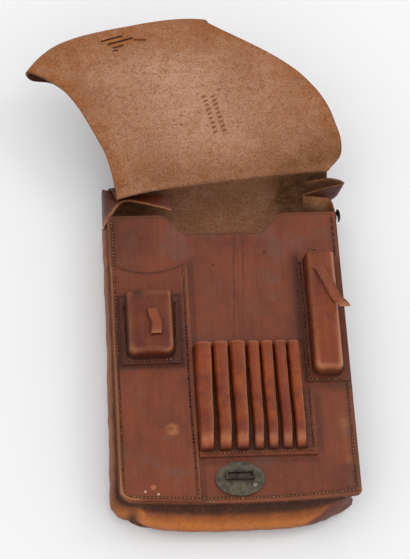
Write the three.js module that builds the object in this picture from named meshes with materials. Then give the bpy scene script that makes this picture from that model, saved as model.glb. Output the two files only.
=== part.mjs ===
// A leather map case lying open on its back, in millimetres.
// X runs across the case, Y up it from the bottom edge to the flap, Z up from the floor.
// The case is drawn with Y from its bottom edge, and then moved so that the origin is on the floor,
// in the middle of the back panel.
import * as THREE from 'three'

// Whole case
const faceWidth = 236 // the front panel, seam edge to seam edge
const faceHeight = 310 // the front panel, bottom edge to the mouth
const caseDepth = 46 // floor to the front panel's outer face
const frontCorner = { left: 13, right: 5 } // the front panel's bottom corners
const backCorner = { left: 28, right: 45 } // the back's, squashed rounder
const bellyCorner = 6 // the gusset's, where it stands out between the two
const scoopDepth = 21 // the finger scoop in the mouth
const scoopLeft = { start: -0.56, end: -0.3 } // its left shoulder, in half face widths
const scoopRight = { start: 0.3, end: 0.54 }
const bottomBow = 5 // how far the bottom edge bows out in the middle
const faceSwell = 2 // how far the front stands proud in the middle
const skew = 9 // how far the back's bottom edge lies below the front's

// Leathers and seams
const bodyLeather = 2.4 // back, flap and front
const gussetLeather = 2
const pocketLeather = 1.6
const strapLeather = 2
const seam = 7 // width of a sewn border
const clearance = 0.3 // between leathers that lie on each other
const leftBulge = { foot: 7.5, mouth: 3 } // how far the gusset stands out at the left side
const rightBulge = { foot: 2, mouth: 1 } // at the right side
const bottomBulge = 9 // and at the bottom
const cornerPinch = 8 // how far its folds at the bottom corners are drawn in
const mouldedWall = 2.4 // how wide a moulded pouch's wall is, seen from above

// Top band and flap
const topBand = 50 // the leather between the back and the flap's root
const flapReach = 200 // from the mouth to the flap's far curl
const flapRise = 104 // floor to the flap's highest part

// Left pocket
const pocketWidth = 78
const pocketHeight = 256
const pocketInset = 1.2 // its edge, inside the front's edge
const pocketScallop = 12 // dip of its top edge
const pocketCornerDrop = 4 // its top right corner, worn down

// Small moulded pouch on the left pocket
const pouchWidth = 59
const pouchHeight = 72
const pouchFromSide = 38 // its middle, from the front's left edge
const pouchBelowMouth = 42 // from the pocket's mouth to the pouch's mouth
const pouchRise = 13
const pouchArch = 0.1 // how far its middle stands prouder, in rises
const pouchCrown = 4 // how far the middle of its mouth stands up past its corners
const tabWidth = 11
const tabLength = 27
const tabFromFoot = 53 // its slot, above the pouch's foot
const tabAside = 2 // its slot, right of the pouch's middle

// Pen channels
const penToPouch = 3.8 // between the channels' leather and the long pouch
const penBlockHeight = 118
const penFromFoot = 42
const penRise = 12
const penSkirt = 0.07 // its border is wider below the long pouch, in block widths

// Right moulded pouch
const longPouchWidth = 43
const longPouchHeight = 139
const longPouchFromFoot = 119
const longPouchRise = 15
const longPouchArch = 0.05
const longPouchScallop = 4 // dip of its mouth
const strapWidth = 11
const strapLength = 47
const strapFromFoot = 119 // its slot, above the pouch's foot
const strapFromSide = 19 // its slot, from the pouch's left edge

// Lock
const plateWidth = 48
const plateHeight = 35
const plateThickness = 1.2
const plateFromFoot = 19
const mouthWidth = 28
const mouthHeight = 9
const mouthRise = 4
const mouthWall = 2
const mouthUp = 3 // its middle, above the plate's middle
const rivetRadius = 2.6
const rivetRise = 1.6
const rivetAside = 14 // from the plate's middle
const rivetDown = 7

// Hook behind the top right corner
const hookWidth = 9
const hookReach = 4
const hookLength = 12
const hookThickness = 1.6
const hookSeat = { around: 0.04, across: 0.35 } // where it is fixed, in shares of the right ear

// The band behind the mouth, a row for each line across the leather.
// x in face widths, y in top bands beyond the mouth, z in case depths; bow and lift move its middle.
const bandRows = [
  { name: 'foot', bow: 0, lift: 0,
    leftX: -0.493, leftY: 0.46, leftZ: 0, rightX: 0.493, rightY: 0.48, rightZ: 0 },
  { name: 'heel', bow: 0, lift: 0,
    leftX: -0.493, leftY: 0.72, leftZ: 0.14, rightX: 0.493, rightY: 0.8, rightZ: 0.14 },
  { name: 'rise', bow: 0, lift: 0,
    leftX: -0.488, leftY: 0.82, leftZ: 0.46, rightX: 0.49, rightY: 0.97, rightZ: 0.48 },
  { name: 'lean', bow: 0.06, lift: 0,
    leftX: -0.475, leftY: 0.68, leftZ: 0.84, rightX: 0.482, rightY: 1.0, rightZ: 0.92 },
  { name: 'lip', bow: 0.08, lift: 0,
    leftX: -0.456, leftY: 0.34, leftZ: 1.1, rightX: 0.48, rightY: 0.86, rightZ: 1.27 },
]

// The flap, with y in flap reaches beyond the mouth and z in flap rises.
const flapRows = [
  { name: 'root', bow: 0.01, lift: 0.03,
    leftX: -0.466, leftY: 0.17, leftZ: 0.54, rightX: 0.528, rightY: 0.265, rightZ: 0.66 },
  { name: 'neck', bow: 0.01, lift: 0.06,
    leftX: -0.494, leftY: 0.3, leftZ: 0.6, rightX: 0.53, rightY: 0.33, rightZ: 0.77 },
  { name: 'back', bow: 0.01, lift: 0.08,
    leftX: -0.527, leftY: 0.38, leftZ: 0.65, rightX: 0.508, rightY: 0.405, rightZ: 0.84 },
  { name: 'middle', bow: 0.015, lift: 0.09,
    leftX: -0.566, leftY: 0.46, leftZ: 0.71, rightX: 0.475, rightY: 0.5, rightZ: 0.9 },
  { name: 'turn', bow: 0.025, lift: 0.08,
    leftX: -0.61, leftY: 0.545, leftZ: 0.76, rightX: 0.415, rightY: 0.6, rightZ: 0.95 },
  { name: 'taper', bow: 0.04, lift: 0.07,
    leftX: -0.665, leftY: 0.63, leftZ: 0.8, rightX: 0.322, rightY: 0.705, rightZ: 0.98 },
  { name: 'crest', bow: 0.075, lift: 0.05,
    leftX: -0.735, leftY: 0.69, leftZ: 0.82, rightX: 0.165, rightY: 0.83, rightZ: 1 },
  { name: 'far', bow: 0.095, lift: 0.02,
    leftX: -0.81, leftY: 0.74, leftZ: 0.82, rightX: -0.034, rightY: 0.98, rightZ: 0.98 },
  { name: 'over', bow: 0.095, lift: 0,
    leftX: -0.832, leftY: 0.755, leftZ: 0.76, rightX: -0.026, rightY: 1.01, rightZ: 0.9 },
  { name: 'under', bow: 0.08, lift: 0,
    leftX: -0.805, leftY: 0.735, leftZ: 0.69, rightX: -0.008, rightY: 1, rightZ: 0.79 },
  { name: 'inside', bow: 0.04, lift: -0.03,
    leftX: -0.71, leftY: 0.745, leftZ: 0.585, rightX: 0.034, rightY: 0.97, rightZ: 0.46 },
  { name: 'end', bow: 0, lift: -0.06,
    leftX: -0.585, leftY: 0.695, leftZ: 0.44, rightX: 0.076, rightY: 0.925, rightZ: 0.02 },
]

// The gusset across its width: seam widths inward, bulges outward, and height between the panels.
const gussetRows = [
  { name: 'front edge', inward: 0.05, out: 0, up: 1 },
  { name: 'front border', inward: 0.9, out: 0, up: 1 },
  { name: 'front turn', inward: 1.05, out: 0.1, up: 0.86 },
  { name: 'shoulder', inward: 0.3, out: 0.7, up: 0.64 },
  { name: 'belly', inward: 0, out: 1, up: 0.38 },
  { name: 'low', inward: 0.1, out: 0.9, up: 0.16 },
  { name: 'back turn', inward: 0.7, out: 0.35, up: 0 },
  { name: 'back border', inward: 1.9, out: 0, up: 0 },
]

// The folds at its bottom corners: place and width in shares of its way round, depth in pinches.
const cornerFolds = [
  { name: 'left corner', place: 0.378, width: 0.014, depth: 0.9 },
  { name: 'right corner', place: 0.63, width: 0.033, depth: 1.4 },
]

// The gusset's ends, folded in over the mouth: x in half face widths, y in top bands, z in case depths.
// front is the edge that shows, rear the one under the flap's root.
const leftEarRows = [
  { name: 'foot', frontX: -1.02, frontY: 0.012, frontZ: 0.16, rearX: -1.015, rearY: 0.52, rearZ: 0.16 },
  { name: 'wall', frontX: -1.03, frontY: 0.024, frontZ: 0.56, rearX: -1.02, rearY: 0.78, rearZ: 0.56 },
  { name: 'shoulder', frontX: -0.98, frontY: 0.1, frontZ: 0.9, rearX: -1, rearY: 0.7, rearZ: 0.82 },
  { name: 'crest', frontX: -0.85, frontY: 0.35, frontZ: 0.96, rearX: -0.86, rearY: 0.56, rearZ: 0.78 },
  { name: 'slope', frontX: -0.7, frontY: 0.31, frontZ: 0.95, rearX: -0.69, rearY: 0.56, rearZ: 0.8 },
  { name: 'low slope', frontX: -0.56, frontY: 0.24, frontZ: 0.88, rearX: -0.55, rearY: 0.53, rearZ: 0.86 },
  { name: 'end', frontX: -0.43, frontY: 0.19, frontZ: 0.78, rearX: -0.42, rearY: 0.5, rearZ: 0.88 },
]
const rightEarRows = [
  { name: 'foot', frontX: 1.02, frontY: 0.006, frontZ: 0.16, rearX: 1.0, rearY: 0.04, rearZ: 0.86 },
  { name: 'wall', frontX: 0.985, frontY: 0.05, frontZ: 0.46, rearX: 0.96, rearY: 0.3, rearZ: 0.98 },
  { name: 'strip', frontX: 0.87, frontY: 0.06, frontZ: 0.62, rearX: 0.86, rearY: 0.33, rearZ: 1.03 },
  { name: 'first fold', frontX: 0.745, frontY: 0.2, frontZ: 0.62, rearX: 0.73, rearY: 0.38, rearZ: 1.06 },
  { name: 'turned back', frontX: 0.9, frontY: 0.34, frontZ: 0.64, rearX: 0.93, rearY: 0.49, rearZ: 1.12 },
  { name: 'nose', frontX: 1.05, frontY: 0.57, frontZ: 0.66, rearX: 1.09, rearY: 0.62, rearZ: 1.08 },
  { name: 'back layer', frontX: 0.98, frontY: 0.77, frontZ: 0.52, rearX: 0.96, rearY: 0.75, rearZ: 1.04 },
  { name: 'end', frontX: 0.78, frontY: 0.73, frontZ: 0.5, rearX: 0.76, rearY: 0.68, rearZ: 1.02 },
]

// The pen channels, left to right: middle and width in block widths, at the mouth and at the foot.
const penRows = [
  { name: 'first', top: 0.084, topWidth: 0.162, foot: 0.07, footWidth: 0.125, rise: 1 },
  { name: 'second', top: 0.244, topWidth: 0.136, foot: 0.24, footWidth: 0.11, rise: 1 },
  { name: 'third', top: 0.402, topWidth: 0.146, foot: 0.395, footWidth: 0.11, rise: 1 },
  { name: 'fourth', top: 0.548, topWidth: 0.11, foot: 0.545, footWidth: 0.084, rise: 0.86 },
  { name: 'fifth', top: 0.672, topWidth: 0.11, foot: 0.676, footWidth: 0.084, rise: 0.86 },
  { name: 'sixth', top: 0.797, topWidth: 0.108, foot: 0.807, footWidth: 0.084, rise: 0.86 },
  { name: 'seventh', top: 0.92, topWidth: 0.108, foot: 0.93, footWidth: 0.084, rise: 0.86 },
]

// The straps: along in strap lengths, over in leathers above the pouch, aside in strap widths.
const strapRows = [
  { name: 'slot', along: 0, aside: 0, over: 0.5 },
  { name: 'rise', along: 0.12, aside: 0.25, over: 1.1 },
  { name: 'run', along: 0.45, aside: 0.85, over: 0.8 },
  { name: 'low run', along: 0.72, aside: 1.35, over: 0.7 },
  { name: 'curl foot', along: 0.86, aside: 1.75, over: 1.5 },
  { name: 'curl', along: 1, aside: 2, over: 3.2 },
]
const tabRows = [
  { name: 'slot', along: 0, aside: 0, over: 0.5 },
  { name: 'rise', along: 0.25, aside: 0.1, over: 1.5 },
  { name: 'dip', along: 0.5, aside: 0.3, over: 0.7 },
  { name: 'keeper', along: 0.75, aside: 0.35, over: 2.2 },
  { name: 'end', along: 1, aside: 0.25, over: 0.6 },
]

const halfWidth = faceWidth / 2
const innerFloor = bodyLeather + clearance
const pocketLeft = pocketInset - halfWidth
const pocketLevel = clearance + pocketLeather
const pouchFromFoot = pocketHeight - pouchBelowMouth - pouchHeight
const longPouchLeft = halfWidth - pocketInset - longPouchWidth
const penLeft = pocketLeft + pocketWidth + 3 * clearance
const penBlockWidth = longPouchLeft - penToPouch - penLeft
const penSkirtEnd = (longPouchFromFoot - penFromFoot - seam / 2) / penBlockHeight // in block heights

// Even steps from 0 to 1
function steps(count) {
  return Array.from({ length: count + 1 }, (_, index) => index / count)
}

// A smooth curve through one column of a table, at a place counted in rows
function follow(rows, column, place) {
  const last = rows.length - 1
  const index = Math.min(Math.floor(place), last - 1)
  const share = place - index
  const before = rows[Math.max(index - 1, 0)][column]
  const from = rows[index][column]
  const to = rows[index + 1][column]
  const after = rows[Math.min(index + 2, last)][column]
  const slopeFrom = (to - before) / 2
  const slopeTo = (after - from) / 2
  const square = share * share
  const cube = square * share
  return (2 * cube - 3 * square + 1) * from + (cube - 2 * square + share) * slopeFrom
    + (3 * square - 2 * cube) * to + (cube - square) * slopeTo
}

// A soft step from 0 to 1 while a value goes from start to end
function softStep(value, start, end) {
  const share = Math.min(Math.max((value - start) / (end - start), 0), 1)
  return share * share * (3 - 2 * share)
}

// A sheet of leather: surface(a, b) is its middle, and its wall stands half to each side.
// columns and rows are the places across (a) and along (b) where the sheet has points.
function leatherSheet(surface, columns, rows, thickness) {
  const nudge = 0.002
  const slope = (ahead, behind) => ahead.clone().sub(behind)
  const top = []
  const under = []
  for (const b of rows) {
    for (const a of columns) {
      const middle = surface(a, b)
      const across = slope(surface(Math.min(a + nudge, 1), b), surface(Math.max(a - nudge, 0), b))
      const along = slope(surface(a, Math.min(b + nudge, 1)), surface(a, Math.max(b - nudge, 0)))
      const outward = across.cross(along).normalize()
      top.push(middle.clone().addScaledVector(outward, thickness / 2))
      under.push(middle.clone().addScaledVector(outward, -thickness / 2))
    }
  }
  const wide = columns.length
  const high = rows.length
  const below = wide * high
  const faces = []
  const quad = (a, b, c, d) => faces.push(a, b, c, a, c, d)
  for (let row = 0; row < high - 1; row += 1) {
    for (let column = 0; column < wide - 1; column += 1) {
      const corner = row * wide + column
      quad(corner, corner + 1, corner + wide + 1, corner + wide)
      quad(below + corner, below + corner + wide, below + corner + wide + 1, below + corner + 1)
    }
  }
  const lastRow = (high - 1) * wide
  for (let column = 0; column < wide - 1; column += 1) {
    quad(below + column, below + column + 1, column + 1, column)
    quad(lastRow + column, lastRow + column + 1, below + lastRow + column + 1, below + lastRow + column)
  }
  for (let row = 0; row < high - 1; row += 1) {
    const left = row * wide
    const right = left + wide - 1
    quad(left, left + wide, below + left + wide, below + left)
    quad(below + right, below + right + wide, right + wide, right)
  }
  const geometry = new THREE.BufferGeometry().setFromPoints([...top, ...under])
  geometry.setIndex(faces)
  geometry.computeVertexNormals()
  return geometry
}

// Height of the front panel's outer face
function faceLevel(x, y) {
  const across = Math.cos(Math.PI * Math.min(Math.abs(x) / faceWidth, 0.5))
  const along = Math.sin(Math.PI * Math.min(Math.max(y / faceHeight, 0), 1))
  return caseDepth + faceSwell * across * along
}

// A panel's bottom edge, with its bow and two round corners
function footLine(x, corners) {
  const corner = x < 0 ? corners.left : corners.right
  const bow = bottomBow * (1 - (x / halfWidth) ** 2)
  const past = Math.min(Math.max(Math.abs(x) - (halfWidth - corner), 0), corner)
  return corner - Math.sqrt(corner ** 2 - past ** 2) - bow
}

// The front panel's mouth, with its scoop
function faceMouth(x) {
  const share = x / halfWidth
  const afterLeft = softStep(share, scoopLeft.start, scoopLeft.end)
  const afterRight = softStep(share, scoopRight.start, scoopRight.end)
  return faceHeight - scoopDepth * (afterLeft - afterRight)
}

// The front panel
function frontPanel() {
  const left = frontCorner.left / faceWidth
  const right = frontCorner.right / faceWidth
  const columns = [
    0, left * 0.05, left * 0.2, left * 0.5, left, 0.14, 0.22, 0.26, 0.3, 0.35, 0.42, 0.5,
    0.58, 0.65, 0.7, 0.74, 0.77, 0.86, 1 - right, 1 - right * 0.5, 1 - right * 0.2, 1 - right * 0.05, 1,
  ]
  const surface = (a, b) => {
    const x = (a - 0.5) * faceWidth
    const y = THREE.MathUtils.lerp(footLine(x, frontCorner), faceMouth(x), b)
    return new THREE.Vector3(x, y, faceLevel(x, y) - bodyLeather / 2)
  }
  return leatherSheet(surface, columns, steps(8), bodyLeather)
}

// The back panel, the band behind the mouth and the flap, one leather
function backAndFlap() {
  const backFoot = -skew
  const flat = (name, share) => {
    const y = backFoot + share * (faceHeight + skew)
    const x = bandRows[0].rightX * faceWidth
    return { name, leftX: -x, leftY: y, leftZ: 0, rightX: x, rightY: y, rightZ: 0, bow: 0, lift: 0 }
  }
  const scaled = (row, reach, rise) => ({
    ...row,
    leftX: row.leftX * faceWidth,
    rightX: row.rightX * faceWidth,
    leftY: faceHeight + row.leftY * reach,
    rightY: faceHeight + row.rightY * reach,
    leftZ: row.leftZ * rise,
    rightZ: row.rightZ * rise,
    bow: row.bow * reach,
    lift: row.lift * rise,
  })
  const rows = [
    flat('bottom edge', 0),
    flat('back', 0.9),
    flat('upper back', 0.97),
    ...bandRows.map((row) => scaled(row, topBand, caseDepth)),
    ...flapRows.map((row) => scaled(row, flapReach, flapRise)),
  ]
  const last = rows.length - 1
  const surface = (a, b) => {
    const place = b * last
    const at = (column) => follow(rows, column, place)
    const hump = 4 * a * (1 - a)
    const brow = (1 - Math.abs(2 * a - 1) ** 4) * (1.5 - a)
    const x = THREE.MathUtils.lerp(at('leftX'), at('rightX'), a)
    const y = THREE.MathUtils.lerp(at('leftY'), at('rightY'), a) + brow * at('bow')
    const z = THREE.MathUtils.lerp(at('leftZ'), at('rightZ'), a) + hump * at('lift')
    const rounding = Math.max(1 - place, 0) * footLine(x, backCorner)
    return new THREE.Vector3(x, y + rounding, Math.max(z, 0) + bodyLeather / 2)
  }
  const places = []
  rows.forEach((row, index) => {
    if (index === last) return
    const parts = index < 2 ? 1 : 2
    for (let part = 0; part < parts; part += 1) places.push((index + part / parts) / last)
  })
  places.push(1)
  const left = backCorner.left / faceWidth
  const right = backCorner.right / faceWidth
  const columns = [
    0, left * 0.1, left * 0.4, left * 0.7, left, 0.2, 0.3, 0.4, 0.5,
    0.6, 0.7, 1 - right, 1 - right * 0.7, 1 - right * 0.4, 1 - right * 0.1, 1,
  ]
  return leatherSheet(surface, columns, places, bodyLeather)
}

// The U that the gusset follows: a point and its outward direction, from the top left to the top right.
// Its corners follow the front's at the front edge, the back's at the back, and are tighter at the belly.
function gussetPath(share, up, belly) {
  const mirror = share > 0.5
  const sign = mirror ? 1 : -1
  const side = mirror ? 'right' : 'left'
  const ownCorner = THREE.MathUtils.lerp(backCorner[side], frontCorner[side], up)
  const corner = THREE.MathUtils.lerp(ownCorner, bellyCorner, belly)
  const straight = faceHeight - corner
  const arc = (Math.PI / 2) * corner
  const halfWay = straight + arc + halfWidth - corner
  const gone = (mirror ? 1 - share : share) * 2 * halfWay
  if (gone <= straight) {
    return { x: sign * halfWidth, y: faceHeight - gone, outX: sign, outY: 0 }
  }
  if (gone <= straight + arc) {
    const angle = (gone - straight) / corner
    const outX = Math.cos(angle)
    const outY = -Math.sin(angle)
    return {
      x: sign * (halfWidth - corner + corner * outX),
      y: corner + corner * outY,
      outX: sign * outX,
      outY,
    }
  }
  return { x: sign * (halfWay - gone), y: 0, outX: 0, outY: -1 }
}

// The gusset round the left side, the bottom and the right side
function gusset() {
  const last = gussetRows.length - 1
  const floor = innerFloor + gussetLeather / 2
  const surface = (a, b) => {
    const place = b * last
    const at = (column) => follow(gussetRows, column, place)
    const up = Math.min(Math.max(at('up'), 0), 1)
    const point = gussetPath(a, up, Math.min(Math.max(at('out'), 0), 1))
    const downward = Math.max(-point.outY, 0)
    const bow = downward * bottomBow * (1 - (point.x / halfWidth) ** 2)
    const pinch = cornerFolds.reduce(
      (sum, fold) => sum + fold.depth * cornerPinch * Math.exp(-(((a - fold.place) / fold.width) ** 2)), 0)
    const taper = 1 - (point.x / halfWidth) ** 4
    const sideBulge = point.x < 0 ? leftBulge : rightBulge
    const sideways = THREE.MathUtils.lerp(sideBulge.mouth, sideBulge.foot, (1 - point.y / faceHeight) ** 2)
    const bulge = THREE.MathUtils.lerp(sideways, bottomBulge * taper, downward) - pinch
    const out = at('out') * bulge - at('inward') * seam + bow
    const sunk = downward * skew * (1 - up)
    const x = point.x + point.outX * out
    const y = point.y + point.outY * out - sunk
    const ceiling = faceLevel(x, y) - bodyLeather - clearance - gussetLeather / 2
    return new THREE.Vector3(x, y, THREE.MathUtils.lerp(floor, ceiling, up))
  }
  const half = [
    0, 0.09, 0.18, 0.26, 0.31, 0.33, 0.345, 0.354, 0.362, 0.37, 0.378, 0.386, 0.395, 0.41, 0.43, 0.465,
  ]
  const around = [...half, 0.5, ...half.map((share) => 1 - share).reverse()]
  return leatherSheet(surface, around, steps(14), gussetLeather)
}

// The middle of an ear, a folded end of the gusset.
// a goes round its folds, b from its front edge to its rear edge.
function earPoint(rows, a, b) {
  const at = (column) => follow(rows, column, a * (rows.length - 1))
  const x = THREE.MathUtils.lerp(at('frontX'), at('rearX'), b) * halfWidth
  const y = faceHeight + clearance + THREE.MathUtils.lerp(at('frontY'), at('rearY'), b) * topBand
  const z = THREE.MathUtils.lerp(at('frontZ'), at('rearZ'), b) * caseDepth
  return new THREE.Vector3(x, y, z)
}

function ear(rows, columns) {
  return leatherSheet((a, b) => earPoint(rows, a, b), steps(columns), steps(3), gussetLeather)
}

// The long pocket on the left half
function leftPocket() {
  const corner = frontCorner.left / pocketWidth
  const columns = [0, corner * 0.05, corner * 0.25, corner * 0.6, corner, 0.35, 0.5, 0.65, 0.82, 0.95, 1]
  const surface = (a, b) => {
    const x = pocketLeft + a * pocketWidth
    const dip = pocketScallop * Math.sin(Math.PI * a) ** 0.8 + pocketCornerDrop * softStep(a, 0.94, 1)
    const mouth = pocketHeight - dip
    const y = THREE.MathUtils.lerp(footLine(x, frontCorner) + pocketInset, mouth, b)
    return new THREE.Vector3(x, y, faceLevel(x, y) + clearance + pocketLeather / 2)
  }
  return leatherSheet(surface, columns, steps(6), pocketLeather)
}

// A moulded pouch: a flat sewn border on three sides, walls, and a mouth left open at the top
function mouldedPouch({ left, foot, width, height, rise, base, scallop, arch }) {
  const border = seam / width
  const wall = mouldedWall / width
  const columns = [
    { at: 0, lift: 0 },
    { at: border - wall * 0.4, lift: 0 },
    { at: border + wall * 0.6, lift: 0.45 },
    { at: border + wall * 1.2, lift: 0.85 },
    { at: border + wall * 2.6, lift: 1 },
    { at: 0.5, lift: 1 + arch },
  ]
  const across = [...columns, ...columns.slice(0, -1).reverse().map(({ at, lift }) => ({ at: 1 - at, lift }))]
  const footBorder = seam / height
  const footWall = mouldedWall / height
  const along = [
    { at: 0, lift: 0 },
    { at: footBorder - footWall * 0.4, lift: 0 },
    { at: footBorder + footWall * 0.6, lift: 0.45 },
    { at: footBorder + footWall * 1.2, lift: 0.85 },
    { at: footBorder + footWall * 2.6, lift: 1 },
    { at: 0.5, lift: 1 },
    { at: 0.8, lift: 1 },
    { at: 1, lift: 1 },
  ]
  const liftAt = (stations, share) => {
    const next = Math.max(stations.findIndex(({ at }) => at >= share), 1)
    const from = stations[next - 1]
    const to = stations[next]
    return THREE.MathUtils.mapLinear(share, from.at, to.at, from.lift, to.lift)
  }
  const surface = (a, b) => {
    const x = left + a * width
    const y = foot + b * height - scallop * softStep(b, 0.8, 1) * Math.sin(Math.PI * a)
    const lift = rise * liftAt(across, a) * liftAt(along, b)
    return new THREE.Vector3(x, y, faceLevel(x, y) + base + pocketLeather / 2 + lift)
  }
  return leatherSheet(surface, across.map(({ at }) => at), along.map(({ at }) => at), pocketLeather)
}

const smallPouchPlace = {
  left: pouchFromSide - halfWidth - pouchWidth / 2,
  foot: pouchFromFoot,
  width: pouchWidth,
  height: pouchHeight,
  rise: pouchRise,
  base: pocketLevel + clearance,
  scallop: -pouchCrown,
  arch: pouchArch,
}
const longPouchPlace = {
  left: longPouchLeft,
  foot: longPouchFromFoot,
  width: longPouchWidth,
  height: longPouchHeight,
  rise: longPouchRise,
  base: clearance,
  scallop: longPouchScallop,
  arch: longPouchArch,
}

// The seven pen channels in one leather with a sewn border at the foot and the right
function penLoops() {
  const liftShares = [0, 0.12, 0.5, 0.88, 1]
  const roundness = [0, 0.72, 1, 0.72, 0]
  const columns = [{ at: 0, ridge: null, part: 0 }]
  penRows.forEach((ridge) => {
    liftShares.forEach((part, index) => {
      columns.push({ at: 0, ridge, part, round: roundness[index] })
    })
  })
  columns.push({ at: 1, ridge: null, part: 0 })
  const last = columns.length - 1
  const footBorder = seam / penBlockHeight
  const rowShares = [
    { at: 0, lift: 0 },
    { at: footBorder, lift: 0 },
    { at: footBorder + 0.02, lift: 0.6 },
    { at: footBorder + 0.06, lift: 0.8 },
    { at: 0.35, lift: 0.86 },
    { at: penSkirtEnd - 0.04, lift: 0.93 },
    { at: penSkirtEnd, lift: 0.94 },
    { at: 1, lift: 1 },
  ]
  const columnAt = (index, share) => {
    const column = columns[index]
    const skirt = penSkirt * column.at * (1 - softStep(share, penSkirtEnd - 0.04, penSkirtEnd))
    if (!column.ridge) return { across: column.at + skirt, lift: 0 }
    const { top, topWidth, foot, footWidth, rise } = column.ridge
    const middle = THREE.MathUtils.lerp(foot, top, share)
    const width = THREE.MathUtils.lerp(footWidth, topWidth, share)
    return { across: middle + (column.part - 0.5) * width, lift: column.round * rise }
  }
  const liftAlong = (share) => {
    const next = Math.max(rowShares.findIndex(({ at }) => at >= share), 1)
    const from = rowShares[next - 1]
    const to = rowShares[next]
    return THREE.MathUtils.mapLinear(share, from.at, to.at, from.lift, to.lift)
  }
  const surface = (a, b) => {
    const place = a * last
    const index = Math.min(Math.floor(place), last - 1)
    const from = columnAt(index, b)
    const to = columnAt(index + 1, b)
    const across = THREE.MathUtils.lerp(from.across, to.across, place - index)
    const lift = THREE.MathUtils.lerp(from.lift, to.lift, place - index)
    const x = penLeft + across * penBlockWidth
    const y = penFromFoot + b * penBlockHeight
    const seat = faceLevel(x, y) + clearance + pocketLeather / 2
    return new THREE.Vector3(x, y, seat + lift * penRise * liftAlong(b))
  }
  const stations = columns.map((_, index) => index / last)
  return leatherSheet(surface, stations, rowShares.map(({ at }) => at), pocketLeather)
}

// A strap out of a slot in a pouch, running down over the pouch's face
function strap(rows, { pouch, slotX, slotY, width, length }) {
  const last = rows.length - 1
  const pouchFace = pouch.base + pocketLeather + pouch.rise * (1 + pouch.arch)
  const surface = (a, b) => {
    const at = (column) => follow(rows, column, b * last)
    const x = slotX + (a - 0.5 + at('aside')) * width
    const y = slotY - at('along') * length
    return new THREE.Vector3(x, y, faceLevel(x, y) + pouchFace + clearance + at('over') * strapLeather)
  }
  return leatherSheet(surface, [0, 0.5, 1], steps(2 * last), strapLeather)
}

// The oval lock plate
function lockPlate() {
  const oval = new THREE.Shape().absellipse(0, 0, plateWidth / 2, plateHeight / 2, 0, Math.PI * 2)
  return new THREE.ExtrudeGeometry(oval, { depth: plateThickness, bevelEnabled: false, curveSegments: 20 })
}

// The raised mouth that the flap's tongue goes into
function lockMouth() {
  const box = (width, height) => {
    const shape = new THREE.Path()
    shape.moveTo(-width / 2, -height / 2)
    shape.lineTo(width / 2, -height / 2)
    shape.lineTo(width / 2, height / 2)
    shape.lineTo(-width / 2, height / 2)
    shape.closePath()
    return shape
  }
  const outline = new THREE.Shape(box(mouthWidth, mouthHeight).getPoints())
  outline.holes.push(box(mouthWidth - 2 * mouthWall, mouthHeight - 2 * mouthWall))
  return new THREE.ExtrudeGeometry(outline, { depth: mouthRise, bevelEnabled: false })
}

// The plate's domed rivet
function lockRivet() {
  const profile = [
    new THREE.Vector2(0, 0),
    new THREE.Vector2(rivetRadius, 0),
    new THREE.Vector2(rivetRadius * 0.8, rivetRise * 0.7),
    new THREE.Vector2(0, rivetRise),
  ]
  return new THREE.LatheGeometry(profile, 12).rotateX(Math.PI / 2)
}

// The small metal hook that stands out behind the top right corner
function backHook() {
  const rows = [
    { out: 0, along: 0 },
    { out: 0.1, along: 0.45 },
    { out: 0.6, along: 0.9 },
    { out: 1, along: 0.55 },
    { out: 1, along: 0.05 },
  ]
  const last = rows.length - 1
  const seat = earPoint(rightEarRows, hookSeat.around, hookSeat.across)
  const start = seat.x + gussetLeather / 2 + 2 * clearance + hookThickness / 2
  const surface = (a, b) => {
    const at = (column) => follow(rows, column, b * last)
    const x = start + at('out') * hookReach
    const y = seat.y + at('along') * hookLength
    return new THREE.Vector3(x, y, seat.z + (0.5 - a) * hookWidth)
  }
  return leatherSheet(surface, [0, 1], steps(2 * last), hookThickness)
}

const leatherColour = 0x7a4634
const suedeColour = 0xa87a5c
const brassColour = 0x66644f
const ironColour = 0x2e261f

function leather(colour, roughness) {
  return new THREE.MeshStandardMaterial({ color: colour, roughness, metalness: 0 })
}

function metal(colour, roughness) {
  return new THREE.MeshStandardMaterial({ color: colour, roughness, metalness: 1 })
}

const mapCase = new THREE.Group()
mapCase.position.y = -faceHeight / 2

function add(name, geometry, material) {
  const mesh = new THREE.Mesh(geometry, material)
  mesh.name = name
  mapCase.add(mesh)
  return mesh
}

add('back_and_flap', backAndFlap(), leather(suedeColour, 0.9))
add('gusset', gusset(), leather(leatherColour, 0.5))
add('front_panel', frontPanel(), leather(leatherColour, 0.5))
add('ear_left', ear(leftEarRows, 14), leather(leatherColour, 0.5))
add('ear_right', ear(rightEarRows, 21), leather(leatherColour, 0.5))
add('left_pocket', leftPocket(), leather(leatherColour, 0.5))
add('small_pouch', mouldedPouch(smallPouchPlace), leather(leatherColour, 0.5))
add('pen_loops', penLoops(), leather(leatherColour, 0.45))
add('right_pouch', mouldedPouch(longPouchPlace), leather(leatherColour, 0.5))

const tabPlace = {
  pouch: smallPouchPlace,
  slotX: smallPouchPlace.left + pouchWidth / 2 + tabAside,
  slotY: pouchFromFoot + tabFromFoot,
  width: tabWidth,
  length: tabLength,
}
add('small_pouch_tab', strap(tabRows, tabPlace), leather(leatherColour, 0.5))

const strapPlace = {
  pouch: longPouchPlace,
  slotX: longPouchPlace.left + strapFromSide,
  slotY: longPouchFromFoot + strapFromFoot,
  width: strapWidth,
  length: strapLength,
}
add('right_pouch_strap', strap(strapRows, strapPlace), leather(leatherColour, 0.5))

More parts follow.
